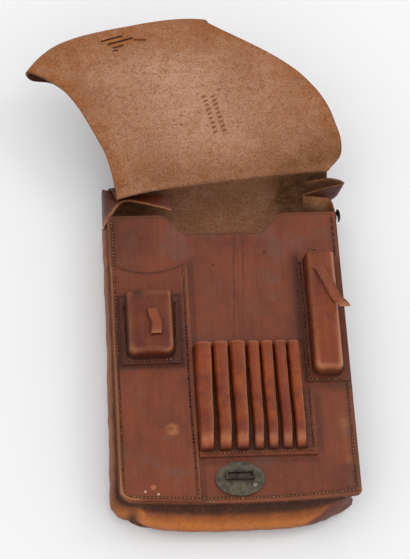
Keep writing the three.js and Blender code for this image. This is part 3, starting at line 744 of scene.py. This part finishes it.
def backRows():
    foot = -case["skew"]
    side = bandRows[0]["rightX"] * case["width"]
    rows = []
    for share in (0, 0.9, 0.97):
        y = blend(foot, case["height"], share)
        flat = {"leftZ": 0, "rightZ": 0, "bow": 0, "lift": 0}
        rows.append({"leftX": -side, "leftY": y, "rightX": side, "rightY": y, **flat})
    spans = ((bandRows, case["band"], case["depth"]), (flapRows, case["flapReach"], case["flapRise"]))
    for table, reach, rise in spans:
        for row in table:
            rows.append({
                "leftX": row["leftX"] * case["width"],
                "rightX": row["rightX"] * case["width"],
                "leftY": case["height"] + row["leftY"] * reach,
                "rightY": case["height"] + row["rightY"] * reach,
                "leftZ": row["leftZ"] * rise,
                "rightZ": row["rightZ"] * rise,
                "bow": row["bow"] * reach,
                "lift": row["lift"] * rise,
            })
    return rows


def makeBackAndFlap():
    rows = backRows()
    last = len(rows) - 1
    lipRow = 2 + len(bandRows)

    def surface(a, b):
        place = b * last
        at = {key: follow(rows, key, place) for key in rows[0]}
        hump = 4 * a * (1 - a)
        brow = (1 - (2 * a - 1) ** 4) * (1.5 - a)
        x = blend(at["leftX"], at["rightX"], a)
        y = blend(at["leftY"], at["rightY"], a) + brow * at["bow"]
        z = blend(at["leftZ"], at["rightZ"], a) + hump * at["lift"]
        y += max(1 - place, 0) * footLine(x, case["backCorner"])
        onFlap = softStep(place, lipRow, lipRow + 1)
        wide = at["rightX"] - at["leftX"]
        z += onFlap * wander(x, y, 20, 60) * 2.0 * (1 - softStep(place, last - 3, last - 1))
        z += onFlap * wander(x, y, 5, 17) * 0.5 * (1 - softStep(place, last - 3, last - 1))
        rim = min(a, 1 - a) * wide
        end = (last - place) * 26
        inBand = 1 - softStep(place, lipRow - 0.2, lipRow + 0.15)
        # painted shade: the band under the flap's lip, the lip itself, the band's sides under the ears, the
        # flap's root on the right and its curled end
        dirtAndShade = 0.08 * inBand + 0.3 * onFlap * swellAt(place, lipRow + 0.4, 0.7)
        dirtAndShade += softStep(place, lipRow + 8.7, lipRow + 9.5)
        dirtAndShade += 0.8 * softStep(abs(x), 48, 72) * (1 - softStep(place, lipRow - 1.6, lipRow - 0.4))
        dirtAndShade += 0.4 * onFlap * softStep(a, 0.55, 0.95) * (1 - softStep(place, lipRow + 1, lipRow + 3.6))
        wornAndLit = 0.5 * onFlap * swellAt(rim, 0, 9) + 0.5 * onFlap * softStep(place, lipRow + 6, lipRow + 7.6)
        # painted light: the middle of the flap made paler, and a little of the band
        glow = onFlap * swellAt(a, 0.44, 0.27) * softStep(place, lipRow + 0.6, lipRow + 2.6)
        glow *= 1 - softStep(place, lipRow + 6, lipRow + 7.6)
        glow += 0.2 * inBand
        facts = {"edge": min(rim, end), "grime": min(dirtAndShade, 1), "rub": min(wornAndLit, 1), "glow": glow}
        return (x, y, max(z, 0) + case["leather"] / 2), facts

    along = [0.0]
    for span in range(last):
        parts = flap["backRows"] if span == 0 else 4 if span < 3 else flap["rowsPerSpan"]
        along += [(span + part / parts) / last for part in range(1, parts + 1)]
    across = roundedShares(case["width"], case["backCorner"], flap["turns"], flap["columns"])
    leatherPiece(
        "backAndFlapLeather", surface, across, along, case["leather"],
        ("suede", "outside", "flapEdge"), ["back_and_flap"],
    )


# the gusset round the sides and the foot

gussetRows = [
    {"inward": 0.05, "out": 0, "up": 1},
    {"inward": 0.9, "out": 0, "up": 1},
    {"inward": 1.05, "out": 0.1, "up": 0.86},
    {"inward": 0.3, "out": 0.7, "up": 0.64},
    {"inward": 0, "out": 1, "up": 0.38},
    {"inward": 0.1, "out": 0.9, "up": 0.16},
    {"inward": 0.7, "out": 0.35, "up": 0},
    {"inward": 1.9, "out": 0, "up": 0},
]
cornerFolds = [
    {"place": 0.378, "width": 0.014, "depth": 0.9},
    {"place": 0.63, "width": 0.033, "depth": 1.4},
]
gusset = {
    "leftBulge": {"foot": 7.5, "mouth": 3},
    "rightBulge": {"foot": 2, "mouth": 1},
    "bottomBulge": 9, "pinch": 8, "columns": 260, "rows": 40,
}
# near its right corner the foot is maroon below a crease that rises to the right
rightCrease = {"x": 61, "height": 15, "slope": 0.49, "soft": 1.5, "start": (58, 72)}
# the foot's left corner has a hollow with painted shade, and beside it a leaning ridge with a painted
# highlight
leftPinch = {"hollowX": -104, "ridgeX": -96, "y": -5, "lean": 0.25}


def gussetPath(share, up, belly):
    side = "right" if share > 0.5 else "left"
    sign = 1 if share > 0.5 else -1
    corner = blend(case["backCorner"][side], case["frontCorner"][side], up)
    corner = blend(corner, case["bellyCorner"], belly)
    straight = case["height"] - corner
    arc = math.pi / 2 * corner
    halfWay = straight + arc + halfWidth - corner
    gone = (1 - share if share > 0.5 else share) * 2 * halfWay
    if gone <= straight:
        return sign * halfWidth, case["height"] - gone, sign, 0
    if gone <= straight + arc:
        angle = (gone - straight) / corner
        outX, outY = math.cos(angle), -math.sin(angle)
        return sign * (halfWidth - corner + corner * outX), corner + corner * outY, sign * outX, outY
    return sign * (halfWay - gone), 0, 0, -1


def makeGusset():
    last = len(gussetRows) - 1
    floor = case["leather"] + case["gap"] + case["gussetLeather"] / 2

    def surface(a, b):
        place = b * last
        inward, outward, up = (follow(gussetRows, key, place) for key in ("inward", "out", "up"))
        up = min(max(up, 0), 1)
        x0, y0, outX, outY = gussetPath(a, up, min(max(outward, 0), 1))
        downward = max(-outY, 0)
        bow = downward * case["bottomBow"] * (1 - (x0 / halfWidth) ** 2)
        near = [fold["depth"] * swellAt(a, fold["place"], fold["width"]) for fold in cornerFolds]
        pinch = gusset["pinch"] * sum(near)
        taper = 1 - (x0 / halfWidth) ** 4
        sideBulge = gusset["leftBulge"] if x0 < 0 else gusset["rightBulge"]
        sideways = blend(sideBulge["mouth"], sideBulge["foot"], (1 - y0 / case["height"]) ** 2)
        bulge = blend(sideways, gusset["bottomBulge"] * taper, downward) - pinch
        free = math.sin(math.pi * b)
        wrinkle = wander(x0, y0, up * 20, 14) * 0.9 * free
        out = outward * bulge - inward * case["seam"] + bow + wrinkle
        x = x0 + outX * out
        y = y0 + outY * out - downward * case["skew"] * (1 - up)
        ceiling = faceLevel(x, y) - case["leather"] - case["gap"] - case["gussetLeather"] / 2
        z = blend(floor, ceiling, up)
        folded = sum(swellAt(a, fold["place"], fold["width"] * 0.9) for fold in cornerFolds)
        crease = rightCrease["height"] + (x - rightCrease["x"]) * rightCrease["slope"]
        soft = rightCrease["soft"]
        under = softStep(x, *rightCrease["start"]) * (1 - softStep(z, crease - soft, crease + soft))
        # painted shade in the left hollow, and a painted highlight on the ridge beside it
        hollowShade = swellAt(x, leftPinch["hollowX"], 6.5) * swellAt(y, leftPinch["y"], 8)
        lean = leftPinch["lean"] * (y - leftPinch["y"])
        ridge = swellAt(x + lean, leftPinch["ridgeX"], 2.6)
        ridge *= softStep(-y, -6, 0) * (1 - softStep(-y, 14, 22))
        # painted shade in the gap under the front's foot, along the bulge's lower rim, in the left hollow and
        # in the corner folds; the sides darker
        dirtAndShade = 1.2 * softStep(up, 0.62, 0.74) + 0.4 * (1 - softStep(up, 0.0, 0.12)) + 0.9 * hollowShade
        dirtAndShade += 0.3 * (1 - downward) + 0.25 * folded * (1 - downward)
        # painted highlights along the bulge's crest, on the left ridge and down the left side's bulge
        wornAndLit = downward * 0.8 * swellAt(up, 0.42, 0.16) * (1 - under) + 0.9 * ridge * downward
        wornAndLit += 0.3 * (1 - downward) * swellAt(up, 0.4, 0.25) * softStep(-x, 0, 1)
        facts = {"edge": 20, "grime": min(dirtAndShade, 1), "rub": min(wornAndLit, 1), "under": under}
        return (x, y, z), facts

    across, along = evenShares(gusset["columns"]), evenShares(gusset["rows"])
    leatherPiece(
        "gussetLeather", surface, across, along, case["gussetLeather"],
        ("suede", "gusset", "edge"), ["gusset"],
    )


# its two ends, folded in over the mouth

leftEarRows = [
    {"frontX": -1.02, "frontY": -0.1, "frontZ": 0.16, "rearX": -1.015, "rearY": 0.52, "rearZ": 0.16},
    {"frontX": -1.02, "frontY": -0.1, "frontZ": 0.56, "rearX": -1.02, "rearY": 0.78, "rearZ": 0.56},
    {"frontX": -0.97, "frontY": 0.0, "frontZ": 0.9, "rearX": -1, "rearY": 0.7, "rearZ": 0.82},
    {"frontX": -0.85, "frontY": 0.35, "frontZ": 0.96, "rearX": -0.86, "rearY": 0.56, "rearZ": 0.78},
    {"frontX": -0.7, "frontY": 0.31, "frontZ": 0.95, "rearX": -0.69, "rearY": 0.56, "rearZ": 0.8},
    {"frontX": -0.56, "frontY": 0.24, "frontZ": 0.88, "rearX": -0.55, "rearY": 0.53, "rearZ": 0.86},
    {"frontX": -0.43, "frontY": 0.19, "frontZ": 0.78, "rearX": -0.42, "rearY": 0.5, "rearZ": 0.88},
]
rightEarRows = [
    {"frontX": 1.02, "frontY": 0.006, "frontZ": 0.16, "rearX": 1.0, "rearY": 0.04, "rearZ": 0.86},
    {"frontX": 0.985, "frontY": 0.05, "frontZ": 0.46, "rearX": 0.96, "rearY": 0.3, "rearZ": 0.98},
    {"frontX": 0.87, "frontY": 0.06, "frontZ": 0.62, "rearX": 0.86, "rearY": 0.33, "rearZ": 1.03},
    {"frontX": 0.745, "frontY": 0.2, "frontZ": 0.62, "rearX": 0.73, "rearY": 0.38, "rearZ": 1.06},
    {"frontX": 0.9, "frontY": 0.34, "frontZ": 0.64, "rearX": 0.93, "rearY": 0.49, "rearZ": 1.12},
    {"frontX": 1.05, "frontY": 0.57, "frontZ": 0.66, "rearX": 1.09, "rearY": 0.62, "rearZ": 1.08},
    {"frontX": 0.98, "frontY": 0.77, "frontZ": 0.52, "rearX": 0.96, "rearY": 0.75, "rearZ": 1.04},
    {"frontX": 0.78, "frontY": 0.73, "frontZ": 0.5, "rearX": 0.76, "rearY": 0.68, "rearZ": 1.02},
]
ears = [
    {"name": "leftEarLeather", "node": "ear_left", "rows": leftEarRows,
     "columns": 60, "grime": 0.12, "rub": 0.9},
    {"name": "rightEarLeather", "node": "ear_right", "rows": rightEarRows,
     "columns": 84, "grime": 0.55, "rub": 0.5},
]


def earPoint(rows, a, b):
    at = {key: follow(rows, key, a * (len(rows) - 1)) for key in rows[0]}
    x = blend(at["frontX"], at["rearX"], b) * halfWidth
    y = case["height"] + case["gap"] + blend(at["frontY"], at["rearY"], b) * case["band"]
    z = blend(at["frontZ"], at["rearZ"], b) * case["depth"]
    return x, y, z


def makeEar(ear):
    def surface(a, b):
        x, y, z = earPoint(ear["rows"], a, b)
        free = math.sin(math.pi * min(a * 1.4, 1)) if a < 0.5 else 1
        z += wander(x, y, z, 11) * 0.8 * free
        # painted highlight along the ear's front edge
        wornAndLit = ear["rub"] * swellAt(b, 0, 0.13)
        facts = {"edge": 1 + min(b, 1 - b) * 24, "grime": ear["grime"], "rub": wornAndLit}
        return (x, y, z), facts

    leatherPiece(
        ear["name"], surface, evenShares(ear["columns"]), evenShares(16), case["gussetLeather"],
        ("ear", "suede", "flapEdge"), [ear["node"]],
    )


# the long pocket on the left

pocket = {"width": 78, "height": 256, "inset": 1.2, "scallop": 12, "cornerDrop": 4}
pocket["left"] = pocket["inset"] - halfWidth
pocket["level"] = case["gap"] + case["pocketLeather"]
# where dirt gathers on the pocket, round the small pouch and above its mouth
pouchDirt = {"middle": -80, "halfWidth": 31, "foot": 140, "top": 216, "mouth": 219}


def pocketMouth(share):
    scallop = pocket["scallop"] * math.sin(math.pi * share) ** 0.8
    return pocket["height"] - scallop - pocket["cornerDrop"] * softStep(share, 0.94, 1)


def makePocket():
    corner = case["frontCorner"]["left"] / pocket["width"]
    near = [corner * (1 - math.cos(math.pi / 2 * turn / 9)) for turn in range(9)]
    across = near + [blend(corner, 1, share) for share in evenShares(34)]

    def surface(a, b):
        x = pocket["left"] + a * pocket["width"]
        y = blend(faceFoot(x) + pocket["inset"], pocketMouth(a), b)
        rightEdge = pocket["left"] + pocket["width"] - x
        mouth = pocketMouth(a) - y
        beside = max(abs(x - pouchDirt["middle"]) - pouchDirt["halfWidth"], 0)
        aroundPouch = math.hypot(beside, max(pouchDirt["foot"] - y, y - pouchDirt["top"], 0))
        dirtAndShade = 0.8 * swellAt(aroundPouch, 0, 3.2)
        dirtAndShade += 0.5 * swellAt(y, pouchDirt["mouth"], 5) * swellAt(x, pouchDirt["middle"], 26)
        dirtAndShade += 0.2 * swellAt(nearEdge(x, y), 4, 4) + 0.7 * swellAt(mouth, 0, 1.6)
        wornAndLit = 1.1 * swellAt(nearEdge(x, y), 1.5, 3.4) * swellAt(y, 6, 17) * softStep(-x, 92, 106)
        wornAndLit += 0.15 * swellAt(rightEdge, 1, 1.2)
        wornAndLit += 0.7 * swellAt(nearEdge(x, y), 1.8, 1.0) * softStep(-x, 90, 110)
        rim = min(nearEdge(x, y), rightEdge + 0.1, mouth + 3.4)
        facts = {"edge": rim, "grime": min(dirtAndShade, 1), "rub": min(wornAndLit, 1)}
        return (x, y, faceLevel(x, y) + case["gap"] + case["pocketLeather"] / 2), facts

    leatherPiece(
        "pocketLeather", surface, across, evenShares(96), case["pocketLeather"],
        ("pocket", "suede", "edge"), ["left_pocket"], rounding=0.4,
    )


# moulded pouches

pouches = {
    "small": {
        "name": "smallPouchLeather", "node": "small_pouch", "columns": 72, "rows": 84,
        "left": -109.5, "foot": 142, "width": 59, "height": 72, "rise": 13,
        "base": pocket["level"] + case["gap"], "scallop": -4, "arch": 0.1,
        "ridge": 0.16, "look": "pouch",
    },
    "long": {
        "name": "rightPouchLeather", "node": "right_pouch", "columns": 60, "rows": 120,
        "left": halfWidth - 1.2 - 43, "foot": 119, "width": 43, "height": 139, "rise": 15,
        "base": case["gap"], "scallop": 4, "arch": 0.05,
        "ridge": 0.3, "look": "moulded",
    },
}
mould = {"wall": 4.6, "corner": 8}


def pouchLift(pouch, x, y):
    # how far the pouch's face stands above its border, and how near the dome's side a point is
    side = min(x - pouch["left"], pouch["left"] + pouch["width"] - x) - case["seam"]
    foot = y - pouch["foot"] - case["seam"]
    inside = min(side, foot)
    if side < mould["corner"] and foot < mould["corner"]:
        inside = mould["corner"] - math.hypot(mould["corner"] - side, mould["corner"] - foot)
    share = min(max(inside / mould["wall"], 0), 1)
    lift = (1 - (1 - share) ** 2.6) ** (1 / 2.2)
    middle = 1 + pouch["arch"] * math.sin(math.pi * (x - pouch["left"]) / pouch["width"])
    return pouch["rise"] * lift * (middle if share == 1 else blend(1, middle, share)), inside


def makePouch(pouch):
    def surface(a, b):
        x = pouch["left"] + a * pouch["width"]
        dip = pouch["scallop"] * softStep(b, 0.8, 1) * math.sin(math.pi * a)
        y = pouch["foot"] + b * pouch["height"] - dip
        lift, inside = pouchLift(pouch, x, y)
        side = min(x - pouch["left"], pouch["left"] + pouch["width"] - x)
        onBorder = 1 - softStep(inside, -0.5, 1.5)
        dirtAndShade = 0.5 * onBorder + 0.5 * swellAt(inside, 0, 1.4)
        rightSide = softStep(x, pouch["left"] + pouch["width"] * 0.6, pouch["left"] + pouch["width"] * 0.8)
        lowCorner = swellAt(y, pouch["foot"] + 10, 5) * swellAt(x, pouch["left"] + 9, 6)
        # wear on the dome's ridge, with painted highlights along its right side and low left corner
        wornAndLit = pouch["ridge"] * swellAt(inside, 3.4, 2.2) * (0.45 + 0.75 * swellAt(y, pouch["foot"] + 12, 22))
        wornAndLit += 0.55 * swellAt(inside, 2.6, 0.9) * rightSide + 0.5 * lowCorner * swellAt(inside, 2.6, 2.4)
        wornAndLit += 0.2 * swellAt(y, pouch["foot"] + pouch["height"], 3)
        holeX = pouch["left"] + pouch["width"] * 0.3
        dirtAndShade += 0.9 * swellAt(y, pouch["foot"] + pouch["height"], 4.5) * swellAt(x, holeX, 6)
        facts = {
            "edge": min(side, y - pouch["foot"]) if onBorder > 0.5 else 20,
            "grime": min(dirtAndShade, 1), "rub": min(wornAndLit, 1),
        }
        level = faceLevel(x, y) + pouch["base"] + case["pocketLeather"] / 2
        dent = wander(x, y, 9, 22) * 0.6 * (1 - onBorder)
        return (x, y, level + lift + dent - 0.3 * (1 - onBorder)), facts

    across, along = evenShares(pouch["columns"]), evenShares(pouch["rows"])
    leatherPiece(
        pouch["name"], surface, across, along, case["pocketLeather"],
        (pouch["look"], "suede", "edge"), [pouch["node"]], rounding=0.4,
    )


# the pen channels

penRows = [
    {"top": 0.084, "topWidth": 0.162, "foot": 0.07, "footWidth": 0.125, "rise": 1},
    {"top": 0.244, "topWidth": 0.136, "foot": 0.24, "footWidth": 0.11, "rise": 1},
    {"top": 0.402, "topWidth": 0.146, "foot": 0.395, "footWidth": 0.11, "rise": 1},
    {"top": 0.548, "topWidth": 0.11, "foot": 0.545, "footWidth": 0.084, "rise": 0.86},
    {"top": 0.672, "topWidth": 0.11, "foot": 0.676, "footWidth": 0.084, "rise": 0.86},
    {"top": 0.797, "topWidth": 0.108, "foot": 0.807, "footWidth": 0.084, "rise": 0.86},
    {"top": 0.92, "topWidth": 0.108, "foot": 0.93, "footWidth": 0.084, "rise": 0.86},
]
pens = {
    "left": pocket["left"] + pocket["width"] + 3 * case["gap"],
    "width": 107.9,
    "height": 118,
    "foot": 42,
    "rise": 12,
    "skirt": 0.07,
    "skirtEnd": (119 - 42 - 3.5) / 118,
    "stations": 14,
    "rows": 88,
    "footRound": 0.09,
}


def makePens():
    border = case["seam"] / pens["height"]
    columns = [None]
    for index, ridge in enumerate(penRows):
        columns += [(ridge, share, index) for share in evenShares(pens["stations"])]
    columns.append(None)
    last = len(columns) - 1

    def surface(a, b):
        index = round(a * last)
        column = columns[index]
        skirt = pens["skirt"] * (1 - softStep(b, pens["skirtEnd"] - 0.04, pens["skirtEnd"]))
        y = pens["foot"] + b * pens["height"]
        if column is None:
            across = 0 if index == 0 else 1 + skirt
            x = pens["left"] + across * pens["width"]
            lift = 0
            ridge = 0
            part = 0
        else:
            table, part, number = column
            middle = blend(table["foot"], table["top"], b)
            width = blend(table["footWidth"], table["topWidth"], b)
            x = pens["left"] + (middle + (part - 0.5) * width) * pens["width"]
            kink = swellAt(b, 0.3, 0.16) * 0.9 - swellAt(b, 0.12, 0.1) * 0.6
            roundness = max(1 - abs(2 * part - 1) ** 3.6, 0) ** (1 / 1.8)
            x += kink * roundness * (1 if number % 2 else 0.7)
            foot = min(max((b - border) / pens["footRound"], 0), 1)
            swell = (1 - (1 - foot) ** 2.6) ** (1 / 2.2)
            taper = blend(0.74, 1, softStep(b, 0.05, 0.85))
            lift = pens["rise"] * table["rise"] * roundness * swell * taper
            lift += wander(x, y, number * 9, 12) * 0.35 * roundness * swell
            ridge = roundness * swell
        high = lift / pens["rise"]
        # painted shade in the grooves between the tubes; grime on the bottom border and the right border
        grooveShade = 1 - softStep(high, 0.15, 0.62)
        dirtAndShade = 1.0 * grooveShade * softStep(x, -60, -30) if b > border * 0.8 else 0.5
        if index == last:
            dirtAndShade = 0.35
        # painted highlights: a thin line down each tube's right flank, at the feet and at the top ends
        wornAndLit = 0.6 * swellAt(part, 12 / pens["stations"], 0.05)
        wornAndLit *= softStep(b, border, border + pens["footRound"])
        wornAndLit += 0.3 * swellAt(b, border + pens["footRound"] * 0.8, 0.05) * softStep(ridge, 0.6, 0.95)
        wornAndLit += 0.35 * swellAt(b, 1, 0.01) * softStep(ridge, 0.4, 0.9)
        rim = b * pens["height"] if b < border else 20
        facts = {"edge": rim, "grime": min(dirtAndShade, 1), "rub": min(wornAndLit, 1)}
        level = faceLevel(x, y) + case["gap"] + case["pocketLeather"] / 2
        return (x, y, level + lift), facts

    low = [blend(0, border, share) for share in evenShares(5)]
    turn = [border + pens["footRound"] * (1 - math.cos(math.pi / 2 * step / 10)) for step in range(1, 11)]
    high = [blend(border + pens["footRound"], 1, step / pens["rows"]) for step in range(1, pens["rows"] + 1)]
    leatherPiece(
        "penChannelLeather", surface, [index / last for index in range(last + 1)], low + turn + high,
        case["pocketLeather"], ("tube", "suede", "edge"), ["pen_loops"], rounding=0.35,
    )


# straps out of the pouches

straps = [
    {
        "name": "tabLeather", "node": "small_pouch_tab", "rim": "edge", "pouch": "small",
        "slotX": -78, "slotY": 195, "width": 11, "length": 27,
        "rows": [
            {"along": 0, "aside": 0, "over": 0.5}, {"along": 0.25, "aside": 0.1, "over": 1.5},
            {"along": 0.5, "aside": 0.3, "over": 0.7}, {"along": 0.75, "aside": 0.35, "over": 2.2},
            {"along": 1, "aside": 0.25, "over": 0.6},
        ],
    },
    {
        "name": "strapLeather", "node": "right_pouch_strap", "rim": "paleEdge", "pouch": "long",
        "slotX": 92.8, "slotY": 238, "width": 11, "length": 47,
        "rows": [
            {"along": 0, "aside": 0, "over": 0.5}, {"along": 0.12, "aside": 0.25, "over": 1.1},
            {"along": 0.45, "aside": 0.85, "over": 0.8}, {"along": 0.72, "aside": 1.35, "over": 0.7},
            {"along": 0.86, "aside": 1.75, "over": 1.5}, {"along": 1, "aside": 2, "over": 3.2},
        ],
    },
]


def makeStrap(strap):
    pouch = pouches[strap["pouch"]]
    last = len(strap["rows"]) - 1
    top = pouch["base"] + case["pocketLeather"] + pouch["rise"] * (1 + pouch["arch"])

    def surface(a, b):
        at = {key: follow(strap["rows"], key, b * last) for key in ("along", "aside", "over")}
        x = strap["slotX"] + (a - 0.5 + at["aside"]) * strap["width"]
        y = strap["slotY"] - at["along"] * strap["length"]
        z = faceLevel(x, y) + top + case["gap"] + at["over"] * case["strapLeather"]
        rim = min(a, 1 - a) * strap["width"]
        facts = {"edge": rim, "grime": 0.7 * swellAt(rim, 0, 0.9), "rub": 0.1 + 0.5 * swellAt(b, 1, 0.12)}
        return (x, y, z), facts

    leatherPiece(
        strap["name"], surface, evenShares(22), evenShares(40), case["strapLeather"],
        ("tube", "moulded", strap["rim"]), [strap["node"]], rounding=0.4,
    )


makeFront()
makeBackAndFlap()
makeGusset()
for ear in ears:
    makeEar(ear)
print("body leathers sewn")
makePocket()
for pouch in pouches.values():
    makePouch(pouch)
makePens()
for strap in straps:
    makeStrap(strap)
print("pockets and pouches set on the front")


# stitches

sewing = {
    "pitch": 3.75, "length": 2.5, "width": 1.25, "height": 0.6,
    "holeLength": 3.75, "holeWidth": 2.7, "holeHeight": 0.14,
    "turn": 9, "sides": 6, "rings": 5,
}


def onFront(x, y):
    level = faceLevel(x, y)
    share = (x - pocket["left"]) / pocket["width"]
    if 0 <= share <= 1 and y < pocketMouth(share):
        level += pocket["level"]
    return level


def onPocket(x, y):
    return faceLevel(x, y) + pocket["level"]


def onSmallPouch(x, y):
    return faceLevel(x, y) + pouches["small"]["base"] + case["pocketLeather"]


def onFirstLayer(x, y):
    return faceLevel(x, y) + case["gap"] + case["pocketLeather"]


def borderPath(inset):
    # the front's own seam, from the top left round the foot to the top right
    side = halfWidth - inset
    turns = {}
    for key, sign in (("left", -1), ("right", 1)):
        corner = max(case["frontCorner"][key], inset + 2)
        radius = corner - inset
        arc = [math.pi / 2 * share for share in evenShares(6)]
        middle = halfWidth - corner
        turns[key] = [
            (sign * (middle + radius * math.cos(turn)), corner - radius * math.sin(turn)) for turn in arc
        ]
    foot = [(x, faceFoot(x) + inset) for x in (-96, -70, -35, 0, 35, 70, 96)]
    top = case["height"] - 6
    return [(-side, top)] + turns["left"] + foot + turns["right"][::-1] + [(side, top)]


def borderTone(x, y):
    if y < 12:
        return 0.8
    if x < 0:
        return blend(0.3, 0.7, softStep(y, 90, 250))
    return blend(0.5, 0.3, softStep(y, 60, 200))


seams = [
    {"path": borderPath(4.7), "level": onFront, "tone": borderTone},
    {"path": [(-43, 251), (-43.7, 200), (-44.4, 130), (-44.2, 95), (-42.6, 50), (-41.6, 3)],
     "level": onPocket,
     "tone": lambda x, y: blend(0.12, 0.6, softStep(y, 170, 245)) + 0.35 * (1 - softStep(y, 10, 60))},
    {"path": [(-105.6, 209), (-103.8, 152), (-101.5, 147), (-98, 145.8),
              (-62, 145.8), (-58.5, 147), (-56.6, 152), (-54, 208)],
     "level": onSmallPouch, "tone": lambda x, y: 0.5 if y < 149 else 0.12},
    {"path": [(-34, 45.8), (73.4, 46.4)], "level": onFirstLayer, "tone": lambda x, y: 0.6},
    {"path": [(74.2, 49), (74.4, 114)], "level": onFirstLayer, "tone": lambda x, y: 0.4},
    {"path": [(75.9, 252), (75.8, 124), (77.5, 121.2), (112, 121.2)], "level": onFirstLayer,
     "tone": lambda x, y: 0.45 if y < 123 else 0.2},
    {"path": [(86, 267.8), (98, 267.4)], "level": onFront, "tone": lambda x, y: 1.0},
]


def alongPath(path, pitch):
    # points a pitch apart along a bent line, each with its heading
    left = pitch / 2
    for start, end in zip(path, path[1:]):
        run = Vector(end) - Vector(start)
        while left < run.length:
            spot = Vector(start) + run * (left / run.length)
            yield spot.x, spot.y, math.atan2(run.y, run.x)
            left += pitch
        left -= run.length


def beadShape():
    # the points and faces of one round bead, a millimetre across
    mesh = bmesh.new()
    bmesh.ops.create_uvsphere(mesh, u_segments=sewing["sides"], v_segments=sewing["rings"], radius=0.5)
    mesh.verts.index_update()
    points = [vert.co.copy() for vert in mesh.verts]
    faces = [[vert.index for vert in face.verts] for face in mesh.faces]
    mesh.free()
    return points, faces


def joinBeads(name, beads, material):
    # one mesh of many small beads: each has a place, a heading, a size and a tone
    points, faces = beadShape()
    places, corners, tones = [], [], []
    for x, y, z, heading, size, tone in beads:
        start = len(places)
        turn = Matrix.Rotation(heading, 3, "Z")
        for point in points:
            moved = turn @ Vector((point.x * size[0], point.y * size[1], point.z * size[2]))
            places.append(toFrame(x + moved.x, y + moved.y, z + moved.z))
            tones.append(tone)
        corners += [[start + corner for corner in face] for face in faces]
    data = bpy.data.meshes.new(name)
    data.from_pydata(places, [], corners)
    data.attributes.new("tone", "FLOAT", "POINT").data.foreach_set("value", tones)
    data.materials.append(looks[material])
    data.polygons.foreach_set("use_smooth", [True] * len(data.polygons))
    piece = bpy.data.objects.new(name, data)
    bpy.context.scene.collection.objects.link(piece)
    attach(piece, "root")


def makeStitches():
    chance = random.Random(7)
    beads = []
    holeShadeSize = (sewing["holeLength"], sewing["holeWidth"], sewing["holeHeight"] * 2)
    for seam in seams:
        for x, y, heading in alongPath(seam["path"], sewing["pitch"]):
            level = seam["level"](x, y)
            shade = min(max(seam["tone"](x, y) + chance.uniform(-0.22, 0.22), 0), 1)
            heading += math.radians(chance.uniform(-sewing["turn"], sewing["turn"]))
            grow = chance.uniform(0.85, 1.1)
            stitch = (sewing["length"] * grow, sewing["width"] * grow, sewing["height"] * 2)
            # a flat near-black disc under each stitch is painted shade in its hole
            beads.append((x, y, level, heading, holeShadeSize, 0))
            beads.append((x, y, level + 0.12, heading, stitch, shade))
    joinBeads("stitches", beads, "thread")


makeStitches()
print("seams stitched")

# floor

floorMesh = bmesh.new()
bmesh.ops.create_grid(floorMesh, x_segments=1, y_segments=1, size=studio["floorSize"] / 2)
paper = Graph("paleFloor")
looks["floor"] = paper.finish((0.865, 0.865, 0.87, 1), 0.9)
floor = toObject("floor", floorMesh, ["floor"], smooth=False)

metals = {"lock_plate": "brass", "lock_mouth": "mouth", "lock_rivet": "bright", "back_hook": "iron"}
for name, key in metals.items():
    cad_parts[name].material_slots[0].material = looks[key]
print("metal dressed")
